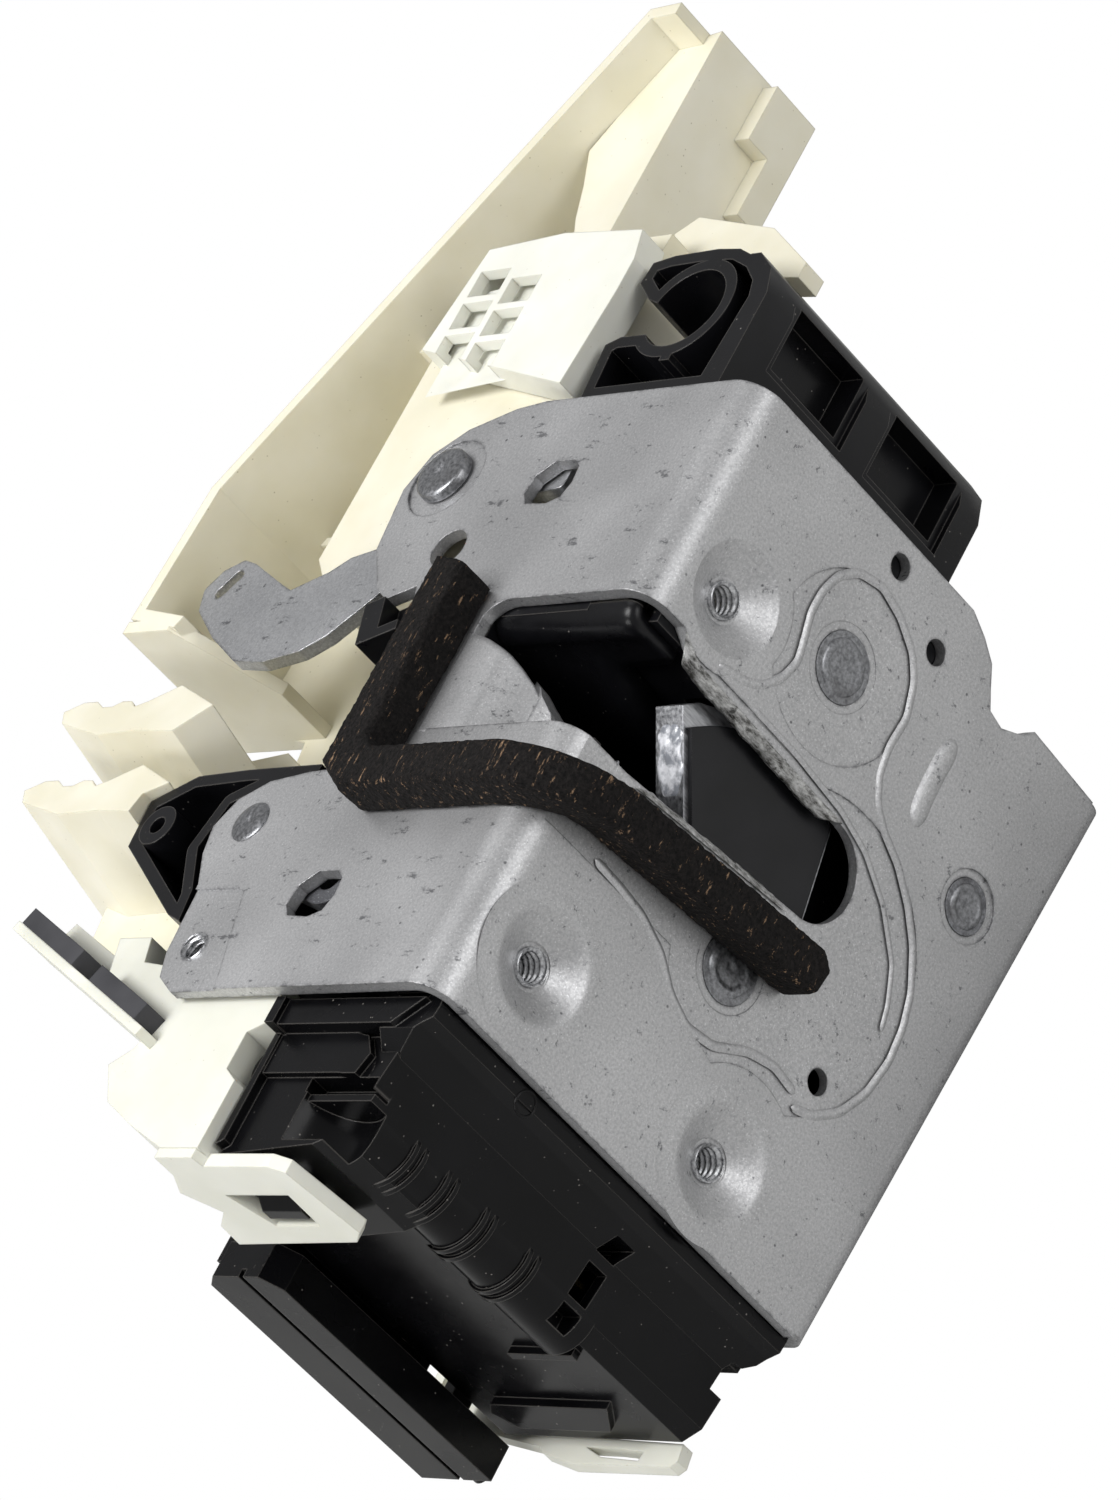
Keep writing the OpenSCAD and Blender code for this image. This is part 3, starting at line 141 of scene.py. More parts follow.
def zinc(name, dark, light, rough=(0.4, 0.56), glitter=0.5, metal=0.82):
    """Zinc-plated steel sheet: satin grey with a bright grain, handling marks and rubbed edges.

    The real grain is finer than a pixel of the render, so it is drawn at 0.4 mm, and its sparkle at 0.22 mm, to show.
    """
    m, t, shader, at = start(name)
    cloud = cloudy(t, at, 22, 3)
    grain = cloudy(t, at, 0.4, 3, 0.7)
    sparkle = cloudy(t, at, 0.22, 1)
    scuff = cloudy(t, at, 2.4, 6, 0.8, (1, 0.4, 1))
    scratch = cloudy(t, at, 1.1, 6, 0.8, (0.15, 1.4, 1))
    nick = add(t, "ShaderNodeTexVoronoi", {"Vector": at, "Scale": 1 / (2.2 * MM)}, out="Distance")
    nicked = cloudy(t, at, 8, 3)
    chip = cloudy(t, at, 1.5, 4, 0.7)
    edge = edge_pattern(t, 0.9)
    colour = coat(t, dark, light, (cloud, 0.3, 0.72, 1.0))  # clouds of the plating bath
    colour = coat(t, colour, "#77787c", (grain, 0.42, 0.6, 0.3))
    colour = coat(t, colour, "#f0f1f3", (sparkle, 0.62, 0.74, glitter))
    colour = coat(t, colour, "#4e4f53", (scuff, 0.595, 0.64, 0.7))  # dark scuffs from handling
    colour = coat(t, colour, "#3f4044", (nick, 0.12, 0.06, 0.75), (nicked, 0.46, 0.58, 1.0))
    colour = coat(t, colour, "#e8e9eb", (scratch, 0.67, 0.72, 0.3))
    colour = coat(t, colour, "#47474a", (edge, 0.985, 0.8, 0.75), (chip, 0.42, 0.6, 1.0))  # worn edges
    both = add(t, "ShaderNodeMath", {0: grain, 1: 0.8, 2: cloud}, operation="MULTIPLY_ADD")
    rough = add(t, "ShaderNodeMapRange", {0: both, 1: 0.6, 2: 1.25, 3: rough[0], 4: rough[1]})
    height = add(t, "ShaderNodeMath", {0: sparkle, 1: 0.8, 2: grain}, operation="MULTIPLY_ADD")
    finish(t, shader, colour, rough, metal, height, 0.014, 0.25)
    return m


def moulded(name, base, rim, rough, speck=None, grain_mm=0.25, depth=0.006, gloss=0.275, deep=0.0):
    """Injection-moulded plastic or rubber: spark-eroded grain, flow clouds, dust and lint, paler rubbed edges.

    The real grain is under 0.1 mm and is drawn at grain_mm, so that it breaks up the gloss. Light sinks deep into
    the unfilled white and cream ones, which softens their shadows.
    """
    m, t, shader, at = start(name)
    flow = cloudy(t, at, 11, 3)
    grain = cloudy(t, at, grain_mm, 2)
    colour = coat(t, base, rim, (flow, 0.35, 0.7, 1.0))
    if speck:
        dirty = (cloudy(t, at, 7, 3), 0.45, 0.6, 1.0)
        dust = add(t, "ShaderNodeTexVoronoi", {"Vector": at, "Scale": 1 / (1.5 * MM)}, out="Distance")
        lint = cloudy(t, at, 1.4, 6, 0.8, (0.2, 1.2, 1.2))
        colour = coat(t, colour, speck, (dust, 0.1, 0.05, 0.7), dirty)
        colour = coat(t, colour, speck, (lint, 0.68, 0.72, 0.35), dirty)
    colour = coat(t, colour, speck or rim, (edge_pattern(t, 0.35), 0.96, 0.7, 0.35))
    rough = add(t, "ShaderNodeMapRange", {0: flow, 1: 0.3, 2: 0.75, 3: rough - 0.07, 4: rough + 0.08})
    height = add(t, "ShaderNodeMath", {0: flow, 1: 3.0, 2: grain}, operation="MULTIPLY_ADD")
    finish(t, shader, colour, rough, 0.0, height, depth, 0.3)
    shader.inputs["Specular IOR Level"].default_value = gloss
    if deep:
        shader.inputs["Subsurface Weight"].default_value = deep
        shader.inputs["Subsurface Radius"].default_value = (1.0, 0.85, 0.55)
        shader.inputs["Subsurface Scale"].default_value = 1.2 * MM
    return m


def bare_metal(name, base, light, rough=0.32, lay=(1, 1, 0.12)):
    """Ground, drawn or upset bare metal: bright streaks along its lay, darker stains."""
    m, t, shader, at = start(name)
    streak = cloudy(t, at, 0.5, 4, 0.6, lay)
    colour = coat(t, base, light, (streak, 0.35, 0.65, 1.0))
    colour = coat(t, colour, "#3d3a38", (cloudy(t, at, 5, 3), 0.55, 0.75, 0.5))
    rough = add(t, "ShaderNodeMapRange", {0: streak, 1: 0.3, 2: 0.7, 3: rough - 0.08, 4: rough + 0.12})
    finish(t, shader, colour, rough, 1.0, streak, 0.008, 0.2)
    return m


def open_cell_foam(name):
    """Near-black open-cell foam: dark pores, brown fibres and lint caught in them, no sheen."""
    m, t, shader, at = start(name)
    pores = cloudy(t, at, 0.55, 4, 0.75)
    cells = add(t, "ShaderNodeTexVoronoi", {"Vector": at, "Scale": 1 / (0.7 * MM)}, out="Distance")
    colour = coat(t, "#0d0d0d", "#242120", (pores, 0.35, 0.7, 1.0))
    colour = coat(t, colour, "#9c8066", (cloudy(t, at, 1.1, 6, 0.8, (0.25, 1.6, 1)), 0.6, 0.64, 0.85))
    colour = coat(t, colour, "#080707", (cells, 0.25, 0.0, 0.7))
    height = add(t, "ShaderNodeMath", {0: pores, 1: cells}, operation="ADD")
    finish(t, shader, colour, 0.95, 0.0, height, 0.3, 0.3)
    shader.inputs["Specular IOR Level"].default_value = 0.15
    return m


def smeared_grease(name):
    """White lithium grease, thinly smeared: wet gloss over grey streaks of the steel under it."""
    m, t, shader, at = start(name)
    lump = cloudy(t, at, 1.8, 4, 0.6)
    colour = coat(t, "#8f9299", "#e9eaef", (lump, 0.42, 0.6, 1.0))
    rough = add(t, "ShaderNodeMapRange", {0: lump, 1: 0.35, 2: 0.7, 3: 0.12, 4: 0.32})
    finish(t, shader, colour, rough, 0.0, lump, 0.12, 0.2)
    shader.inputs["Coat Weight"].default_value = 0.6
    return m


def torn_steel(name):
    """Sheared and torn edge of plated steel: bright smears, dark pits."""
    m, t, shader, at = start(name)
    tear = cloudy(t, at, 0.8, 5, 0.75, (1, 1, 0.35))
    colour = coat(t, "#4d4c49", "#d9d9d8", (tear, 0.36, 0.62, 1.0))
    colour = coat(t, colour, "#33322f", (cloudy(t, at, 1.7, 4, 0.7), 0.56, 0.66, 0.8))
    rough = add(t, "ShaderNodeMapRange", {0: tear, 1: 0.3, 2: 0.7, 3: 0.3, 4: 0.55})
    finish(t, shader, colour, rough, 0.9, tear, 0.12, 0.12)
    return m


EVEN = (1, 1, 1)  # a lay with no direction, as on an upset or rolled face
ZINC = zinc("zinc_plated_sheet", "#b4b4b5", "#c4c4c5")
BORE = bare_metal("thread_cut_steel", "#8b8c8f", "#d6d7d9", 0.3, EVEN)
TORN = torn_steel("torn_edge_steel")
LOOKS = {
    # Zinc-plated sheet: satin light grey, the long lever brighter; the inner lever is painted dark as shade, because
    # it is seen through the plate's slots, where shade falls.
    "latch_plate": ZINC,
    "back_plate": zinc("zinc_back_plate", "#9b9ca0", "#b0b1b5"),
    "release_lever": zinc("zinc_release_lever", "#bcbdc0", "#d8d9db", (0.3, 0.45), 0.7, 0.9),
    # Painted shade: the inner lever's grey is darkened to stand for the shade under the slots it is seen through.
    "inside_lever": zinc("inside_lever_painted_shade", "#55565a", "#6a6b6f", metal=0.6),
    "pawl_lever": zinc("zinc_pawl_lever", "#97989b", "#b0b1b4"),
    # Hardened steel, stamped and ground: bright on the claw, darker on the oiled pawl.
    "claw": bare_metal("claw_hardened_steel", "#96979b", "#cdced1", 0.34, (1, 1, 0.15)),
    "pawl": bare_metal("pawl_hardened_steel", "#515257", "#85878d", 0.3, (1, 0.12, 1)),
    # Turned rivets, upset cold and left bare: dull mid grey.
    "claw_pivot": bare_metal("claw_rivet_steel", "#6f7073", "#9b9c9f", 0.36, EVEN),
    "pawl_pivot": bare_metal("pawl_rivet_steel", "#6f7073", "#9b9c9f", 0.36, EVEN),
    "stop_rivet": bare_metal("stop_rivet_steel", "#6b6c70", "#97989c", 0.36, EVEN),
    "release_pin": bare_metal("release_pin_steel", "#7c7d80", "#a9aaad", 0.34, EVEN),
    "inside_pin": bare_metal("inside_pin_steel", "#77787b", "#a2a3a6", 0.34, EVEN),
    # Drawn spring wire, oil-dark, with streaks along it.
    "claw_spring": bare_metal("claw_spring_wire", "#55565a", "#8c8d90"),
    "pawl_spring": bare_metal("pawl_spring_wire", "#55565a", "#8c8d90"),
    "release_spring": bare_metal("release_spring_wire", "#55565a", "#8c8d90"),
    "inside_spring": bare_metal("inside_spring_wire", "#55565a", "#8c8d90"),
    # Deep-drawn motor can, turned axle and screws: plain plated steel.
    "lock_motor": bare_metal("motor_can_steel", "#8b8c8e", "#b5b6b8", 0.3, (0.2, 1, 1)),
    "wheel_axle": bare_metal("wheel_axle_steel", "#7c7d80", "#a9aaad"),
    "cover_screws": bare_metal("cover_screw_steel", "#66676a", "#94959a", 0.36, EVEN),
    # Black glass-filled polyamide: near black with a low gloss, dust and lint caught on it.
    "latch_housing": moulded("housing_black_plastic", "#0a0a0c", "#111114", 0.3, "#8a8681", gloss=0.22),
    "side_cover": moulded("side_cover_black_plastic", "#060607", "#0b0b0d", 0.25, "#8a8681", gloss=0.165),
    "claw_jacket": moulded("claw_jacket_plastic", "#121214", "#1c1c1f", 0.35),
    "microswitches": moulded("microswitch_plastic", "#16161a", "#222226", 0.45),
    # Moulded rubber: matt, without dust.
    "bumper": moulded("bumper_rubber", "#0e0e0f", "#18181a", 0.7, None, 0.4, 0.02, 0.165),
    "edge_pads": moulded("edge_pad_rubber", "#38383b", "#48484b", 0.7, None, 0.4, 0.02, 0.165),
    # Unfilled cream and white mouldings: smooth, a soft gloss, light sinks in.
    "actuator_case": moulded("case_cream_plastic", "#ddd8c2", "#e5e1d0", 0.42, "#a0977a", gloss=0.5, deep=0.15),
    "actuator_cover": moulded("cover_white_plastic", "#d6d6ca", "#dfdfd5", 0.42, "#b3ae9c", gloss=0.5, deep=0.12),
    "cable_bracket": moulded("bracket_white_plastic", "#dcdcd2", "#e5e5dd", 0.42, "#b9b4a2", gloss=0.5, deep=0.12),
    # Natural acetal gear parts: off-white and smooth.
    "worm": moulded("worm_gear_plastic", "#e0dccb", "#ece8d9", 0.35),
    "worm_wheel": moulded("wheel_gear_plastic", "#ddd9c6", "#eae6d6", 0.35),
    "lock_slider": moulded("slider_plastic", "#e2e0d4", "#eeece2", 0.35),
    # Stamped brass: warm and bright.
    "connector_pins": bare_metal("connector_pin_brass", "#a88a3f", "#d8bb6a", 0.28),
    "contact_strips": bare_metal("contact_strip_brass", "#a5873d", "#d3b564", 0.3),
    "motor_terminals": bare_metal("terminal_brass", "#a5873d", "#d3b564", 0.3),
    "foam_seal": open_cell_foam("foam_seal_foam"),
}
for node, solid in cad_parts.items():
    solid.data.materials.clear()
    solid.data.materials.append(LOOKS[node])


# ---------------------------------------------------------------- pieces (computed in mm)
def put(name, data):
    """Puts a mesh, lamp or camera into the scene as an object at the origin."""
    o = bpy.data.objects.new(name, data)
    bpy.context.scene.collection.objects.link(o)
    return o


def surface(name, rows, material, around=True, ends=True, body="latch_body", out=None):
    """Surface through rows of points [rows, columns, 3] in mm; around closes each row, ends caps first and last.

    Seams and poles are merged. Faces point outwards: a closed piece is told by its volume, an open one by out.
    """
    rows = np.asarray(rows, float) * MM
    count, wide = rows.shape[:2]
    i, j = np.meshgrid(np.arange(count - 1), np.arange(wide if around else wide - 1), indexing="ij")
    a, b = (i * wide + j).ravel(), (i * wide + (j + 1) % wide).ravel()
    faces = [tuple(q) for q in np.stack([a, b, b + wide, a + wide], 1).tolist()]
    if around and ends:
        faces += [tuple(range(wide))[::-1], tuple(range((count - 1) * wide, count * wide))]
    mesh = bpy.data.meshes.new(name)
    mesh.from_pydata(rows.reshape(-1, 3).tolist(), [], faces)
    mesh.update()
    mesh.polygons.foreach_set("use_smooth", [len(f) == 4 for f in faces])  # end caps stay flat
    bm = bmesh.new()
    bm.from_mesh(mesh)
    bmesh.ops.remove_doubles(bm, verts=bm.verts, dist=WELD)
    bm.normal_update()
    if out is None:
        facing = bm.calc_volume(signed=True)
    else:
        facing = sum(f.normal.dot(Vector(out)) * f.calc_area() for f in bm.faces)
    if facing < 0:
        bmesh.ops.reverse_faces(bm, faces=bm.faces)
    bm.to_mesh(mesh)
    bm.free()
    mesh.materials.append(material)
    o = put(name, mesh)
    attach(o, body)
    return o


def turn(steps):
    """Angles of a full turn in so many steps."""
    return np.linspace(0, 2 * math.pi, steps, endpoint=False)


def along(points, step):
    """Points every step mm along a softened polyline, with the way it runs at each."""
    p = np.asarray(points, float)
    d = np.r_[0, np.cumsum(np.linalg.norm(np.diff(p, axis=0), axis=1))]
    u = np.linspace(0, d[-1], max(2, int(d[-1] / step) + 1))
    q = np.stack([np.interp(u, d, p[:, i]) for i in range(p.shape[1])], 1)
    for _ in range(3):
        q[1:-1] = 0.25 * q[:-2] + 0.5 * q[1:-1] + 0.25 * q[2:]
    return q, np.gradient(q, axis=0)


def foam_strip():
    """Foam strip, 6.2 wide and 6.6 high: a superellipse |a|^6 + |b|^6 = 1 carried along both arms and round the bend.

    A station is the middle of its foot, half its width and its height: P(a, b) = foot + a * half + (b + 1) / 2 * up.
    Round the bend (radius 5) the foot turns with the angle and drifts from x = -19.9 to -17.7.
    """
    side_arm = [((13.4, 32.5, 0), (0.6, 3.1, 0), (0, 0, 6.6)), ((-14, 32.5, 0), (0, 3.1, 0), (0, 0, 6.6)),
                ((-17, 32.5, 0), (-2.1, 3.1, 0), (0, 0, 6.6)), ((-19.9, 29, 0), (-3.1, 1.6, 0), (0, 0, 6.6)),
                ((-19.9, 25.5, 0), (-3.1, 0, 0), (0, 0, 6.6))]
    bend = [((-19.9 + 2.2 * (a / 1.571) ** 2, 5 - 5 * math.sin(a), -5 + 5 * math.cos(a)), (-3.1, 0, 0),
             (0, -6.5 * math.sin(a), 6.5 * math.cos(a))) for a in np.radians(np.linspace(0, 90, 13))]
    door_face = [((-16.6, 0.28, -9.5), (-3.1, 0, 0.4), (0, -6.6, 0)),
                 ((-13.4, 0.28, -46.4), (-3.2, 0, 0.3), (0, -6.6, 0)),
                 ((-13.9, 0.28, -48.6), (-2.2, 0, 0.3), (0, -6.4, 0))]
    st = np.array(side_arm + bend + door_face, float).reshape(-1, 9)
    d = np.r_[0, np.cumsum(np.linalg.norm(np.diff(st[:, :3], axis=0), axis=1))]
    u = np.arange(0, d[-1], 0.55)
    st = np.stack([np.interp(u, d, st[:, i]) for i in range(9)], 1).reshape(-1, 3, 3)
    foot, half, up = (st[:, None, i] for i in range(3))
    ca, sa = np.cos(turn(56)), np.sin(turn(56))
    a = np.sign(ca) * np.abs(ca) ** (1 / 3)
    b = np.sign(sa) * np.abs(sa) ** (1 / 3)
    rough = rng.normal(0, 0.05, (len(u), 56))
    rough = (rough + np.roll(rough, 1, 0) + np.roll(rough, 1, 1)) / 1.7
    grow = 1 + rough / 3.1
    top = 1 - 0.02 * (1 - a ** 2)
    rows = foot + (a * grow)[..., None] * half + np.maximum(((b * grow * top) + 1) / 2, 0.0)[..., None] * up
    o = surface("foam_strip", rows, LOOKS["foam_seal"])
    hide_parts("foam_seal")


foam_strip()


def thread(name, at, axis, bore_r, length, pitch):
    """Screw thread on a sleeve at bore_r: r(t, s) = bore_r - depth * tooth(s / pitch - t / 2 pi), a rounded V."""
    t = turn(60)
    s = np.linspace(0, length, int(length / pitch * 10) + 1)
    phase = (s[:, None] / pitch - t[None] / (2 * math.pi)) % 1.0
    tooth = np.clip(1.25 * (1 - np.abs(2 * phase - 1)), 0, 1)
    fade = np.clip(np.minimum(s, length - s) / (0.4 * pitch), 0, 1)[:, None]
    depth = 0.55 * pitch
    r = bore_r - 0.03 - depth * tooth * fade
    sleeve = np.full((1, 60), bore_r - 0.005)
    r = np.concatenate([r, sleeve, sleeve, r[:1]])
    s = np.r_[s, length, 0, 0]
    u, v, w = (np.eye(3)[(axis + k) % 3] for k in (1, 2, 0))
    ring = np.cos(t)[None, :, None] * u + np.sin(t)[None, :, None] * v
    rows = np.asarray(at, float) + r[..., None] * ring + s[:, None, None] * w
    surface(name, rows, BORE, ends=False)


for k, (x, z) in enumerate(FACE_SCREWS):  # M6 x 1 along Y
    thread("thread_%d" % (k + 1), (x, 1.9, z), 1, 2.5, 6.4, 1.0)
thread("tab_thread", SIDE_SCREW + (-4.6,), 2, 2.1, 4.5, 0.8)  # M5 x 0.8 along Z


def face_rib(name, line, width, height, sharp=1.0):
    """Stamped rib on the door face: y = -height * cos(pi c / 2)^sharp across c = -1..1, falling to 0 at both ends."""
    q, way = along(line, 0.5)
    way /= np.linalg.norm(way, axis=1)[:, None]
    side = np.stack([-way[:, 1], way[:, 0]], 1)
    c = np.linspace(-1, 1, 13)
    s = np.linspace(0, 1, len(q))
    taper = 2 * width / (0.5 * len(q))
    end = np.sqrt(np.clip(1 - np.clip((np.abs(2 * s - 1) - 1 + taper) / taper, 0, 1) ** 2, 0, 1))
    flat = q[:, None] + side[:, None] * (c * width / 2)[None, :, None] * end[:, None, None]
    rise = -height * np.cos(c * math.pi / 2)[None] ** sharp * end[:, None] + 0.01
    rows = np.stack([flat[..., 0], rise, flat[..., 1]], 2)
    surface(name, rows, ZINC, around=False, out=(0, -1, 0))


face_rib("oval_bead", [(15.6, -54.9), (20.2, -54.3), (25.3, -54.3), (29.6, -54.7)], 3.4, 0.55, 0.7)


def dimple_skin(name, at):
    """Soft skin over a screw dimple: y = (c + sqrt(c^2 + 0.45^2)) / 2 - fade, c its cone, the fade ends at r = 11."""
    r = np.linspace(11.0, 3.2, 44)
    cone = 2.6 * (7.6 - r) / 4.5
    y = 0.5 * (cone + np.sqrt(cone ** 2 + 0.45 ** 2)) - 0.25 * np.clip((11 - r) / 3.4, 0, 1) ** 1.5 - 0.01
    y = np.minimum(y, np.maximum(cone, 0) - 0.015)
    t = turn(96)
    rows = np.stack([at[0] + np.outer(r, np.cos(t)), np.outer(y, np.ones(96)), at[1] + np.outer(r, np.sin(t))], 2)
    surface(name, rows, ZINC, ends=False, out=(0, -1, 0))


dimple_skin("dimple_skin_2", FACE_SCREWS[1])
dimple_skin("dimple_skin_3", FACE_SCREWS[2])


def face_rivet(name, at, r, y):
    """Upset rivet head: height h(q) = ring at q = 0.78, shallow dish inside, small centre dimple, q = radius / r."""
    q = np.linspace(1.0, 0.0, 26)
    ring, dish, dimple = np.exp(-((q - 0.78) / 0.13) ** 2), np.clip(1 - q / 0.62, 0, 1), np.exp(-(q / 0.17) ** 2)
    h = 0.16 * ring + 0.05 * dish - 0.14 * dimple + 0.15
    h *= np.clip((1.0 - q) / 0.05, 0, 1) ** 0.5
    t = turn(64)
    wobble = 1 + 0.012 * np.sin(3 * t + at[0]) + 0.008 * np.sin(7 * t)
    x, z = (at[k] + r * np.outer(q, way * wobble) for k, way in enumerate((np.cos(t), np.sin(t))))
    rows = np.stack([x, y - np.outer(h, np.ones(64)), z], 2)
    surface(name, rows, LOOKS["claw_pivot"], ends=False, out=(0, -1, 0))


face_rivet("claw_rivet_head", CLAW_PIVOT, 3.9, 0.31)
face_rivet("pawl_rivet_head", PAWL_PIVOT, 3.9, 0.31)
face_rivet("stop_rivet_head", STOP_RIVET, 3.1, 0.31)


def lever_rivet(name, at, head, rise, power, dent, replaced):
    """Lever pin turned about Z, over a shank and a foot, q = r / head.

    The head is z = rise (1 - q^n)^(1 / n) - dent exp(-(q / 0.28)^2), n its power.
    """
    q = np.linspace(0, 1, 40) ** 0.8
    crown = rise * (1 - np.clip(q, 0, 1) ** power) ** (1 / power)
    dome = np.stack([head * q, crown - dent * np.exp(-(q / 0.28) ** 2)], 1)
    shank, foot = 2.98, 4.6
    low = [(head, -0.02), (shank, -0.02), (shank, -4.5), (foot, -4.5), (foot, -5.7), (0, -5.7)]
    r, z = np.vstack([dome, low])[::-1].T
    t = turn(72)
    rows = np.stack([at[0] + np.outer(r, np.cos(t)), at[1] + np.outer(r, np.sin(t)), np.outer(z, np.ones(72))], 2)
    o = surface(name, rows, LOOKS[replaced], ends=False)
    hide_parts(replaced)


lever_rivet("release_rivet", RELEASE_PIN, 4.2, 1.6, 6, 0.4, "release_pin")
lever_rivet("inside_rivet", INSIDE_PIN, 3.1, 0.5, 2.2, 0.3, "inside_pin")


def pocket_guide():
    """Smooth guide in the housing's pocket: half-round bar of radius 3 over a sloping face.

    The section in X and Z is carried along Y. Past Y = 13 its foot runs down the pocket, by smoothstep between two
    sections.
    """
    t = np.radians(np.linspace(75, 205, 16))
    bar = np.stack([11.0 + 3 * np.cos(t), -5.0 + 3 * np.sin(t)], 1)
    short = np.vstack([[11.2, -2.0], bar, [[8.4, -8.4], [8.7, -10.5], [9.0, -12.2], [11.2, -12.2]]])
    long = np.vstack([[11.2, -2.0], bar, [[7.6, -9.5], [6.0, -17.0], [4.2, -35.6], [11.2, -35.6]]])
    y = np.r_[3.5, 3.6, 3.9, 4.4, 5.2, np.linspace(6, 28.9, 30)]
    k = np.clip((y - 12.8) / 3.0, 0, 1)
    k = (k * k * (3 - 2 * k))[:, None, None]
    front = np.clip((y - 3.5) / 1.7, 0, 1)
    shrink = (0.72 + 0.28 * np.sqrt(1 - (1 - front) ** 2))[:, None, None]
    middle = [11.2, -7.0]
    section = (short * (1 - k) + long * k - middle) * shrink + middle
    rows = np.stack([section[..., 0], y[:, None] + 0 * section[..., 0], section[..., 1]], 2)
    o = surface("pocket_guide", rows, LOOKS["latch_housing"])
    o.data.polygons.foreach_set("use_smooth", [True] * len(o.data.polygons))


def housing_body():
    """The housing's solid with the plain post in its pocket left out: the shaped guide stands there."""
    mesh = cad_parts["latch_housing"].data.copy()
    mesh.name = "housing_body"
    bm = bmesh.new()
    bm.from_mesh(mesh)
    bmesh.ops.remove_doubles(bm, verts=bm.verts, dist=WELD)
    x, y, r, low, high = (size * MM for size in (7.4, 18.0, 3.25, -36.1, -2.3))  # the post's middle, reach and ends
    post = [f for f in bm.faces
            if all(math.hypot(v.co.x - x, v.co.y - y) < r and low < v.co.z < high for v in f.verts)]
    bmesh.ops.delete(bm, geom=post, context="FACES")
    bmesh.ops.holes_fill(bm, edges=[e for e in bm.edges if e.is_boundary], sides=0)
    bm.normal_update()
    bm.to_mesh(mesh)
    bm.free()
    stale = mesh.attributes.get("custom_normal")
    if stale:
        mesh.attributes.remove(stale)
    mesh.set_sharp_from_angle(angle=math.radians(30))
    o = put("housing_body", mesh)
    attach(o, "latch_body")
    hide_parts("latch_housing")


pocket_guide()
housing_body()


def guide_tongue():
    """Curled tongue of the plate at the far end of the mouth: arc about X, z = -15 + sqrt(15^2 - (29 - y)^2).

    A set-in crease runs along it at y = 22.6; the free edge follows the outline x(y), and the rim is rounded.
    """
    y = np.linspace(29.25, 14.9, 60)
    edge = np.interp(y, [14.9, 15, 16, 18, 20, 22, 26, 29.2], [-6.5, -5.5, -1.8, 1.0, 2.7, 4.0, 5.6, 6.5])[:, None]
    a = np.arcsin(np.clip((29 - y) / 15, 0, 1))[:, None]
    step = (0.28 / (1 + np.exp(-(22.6 - y) / 0.22)))[:, None]
    w = np.linspace(0, 1, 40)
    rim = 0.9 * (1 - np.sqrt(np.clip(1 - np.clip((w - 0.94) / 0.06, 0, 1) ** 2, 0, 1)))
    x = -9.95 + (edge + 9.95) * w
    outer, inner = (np.stack([x, 29 - r * np.sin(a), -15 + r * np.cos(a)], 2)
                    for r in (15.06 - step - rim, 13.1 - step + rim))
    for skin in (outer, inner):
        skin[..., 1] = np.where(y[:, None] > 29, y[:, None], skin[..., 1])
    surface("guide_tongue", np.concatenate([outer, inner[:, ::-1]], 1), ZINC)


guide_tongue()


def torn_edge(name, line, reach, depth, seed):
    """Burr along the mouth: P(s, c) from the plate's face to its back edge, moved by sines of s and a random walk."""
    step = 0.35
    q, _ = along(line, step)
    walk = np.random.default_rng(seed).normal(0, 1, len(q))
    for _ in range(4):
        walk[1:-1] = 0.25 * walk[:-2] + 0.5 * walk[1:-1] + 0.25 * walk[2:]
    s = np.arange(len(q)) * step
    wave = (0.16 * np.sin(0.9 * s) + 0.1 * np.sin(2.3 * s + 1) + 0.35 * walk)[:, None]
    end = np.clip(np.minimum(s, s[-1] - s) / 3.0, 0.05, 1)[:, None]
    c = np.linspace(0, 1, 9)
    x = q[:, :1] + reach * (c + 0.25 * wave * c) * end
    y = -0.06 + 0.06 * c + depth * c ** 1.3 * end + 0.12 * wave * np.sin(math.pi * c)
    z = q[:, 1:] + 0 * x
    top = np.stack([x, y, z], 2)
    back = np.stack([q[:, :1] + 0.05 * np.sign(reach) + 0 * x, y[:, ::-1] + 0.02, z], 2)
    surface(name, np.concatenate([top, back[:, :4]], 1), TORN)


torn_edge("torn_edge_1", [(11.1, -8.6), (9.15, -12.6), (8.5, -30), (8.15, -44.4)], -1.5, 1.5, 3)
torn_edge("torn_edge_2", [(-10.1, -13), (-8.4, -30), (-7.1, -43)], 1.15, 0.5, 5)

# Embossed lines round the mouth, (x, z) on the door face.
OUTER = [(11.2, -15.4), (12.5, -20.8), (13.8, -23.0), (16.9, -25.3), (20.1, -26.2), (23.7, -25.3), (26.8, -24.4),
         (30.3, -24.5), (33.7, -25.6), (36.4, -28.3), (37.5, -32.7), (36.3, -37.5), (33.9, -41.9), (31.0, -44.3),
         (26.4, -45.9), (21.4, -45.5), (17.2, -46.2), (14.0, -48.3), (11.9, -51.1), (10.0, -55.5), (6.8, -60.0),
         (3.0, -63.8), (-2.1, -67.0), (-6.7, -68.4), (-11.6, -68.8), (-17.4, -67.8), (-22.2, -65.3), (-25.3, -61.7),
         (-26.6, -57.8)]
INNER = [(10.5, -23.5), (10.4, -32.5), (9.4, -43.5), (7.7, -49.9), (4.1, -56.4), (-1.1, -62.1), (-5.9, -64.5),
         (-9.4, -65.4)]
LOWER = [(-21.5, -12.7), (-21.7, -17.8), (-22.3, -23.1), (-24.2, -28.4), (-27.4, -32.7), (-29.1, -37.2),
         (-28.4, -42.3), (-25.3, -47.7), (-24.1, -52.5), (-24.8, -57.5)]
face_rib("panel_rib_outer", OUTER, 1.3, 0.26)
face_rib("panel_rib_inner", INNER, 0.9, 0.16)
face_rib("panel_rib_lower", LOWER, 1.3, 0.24)


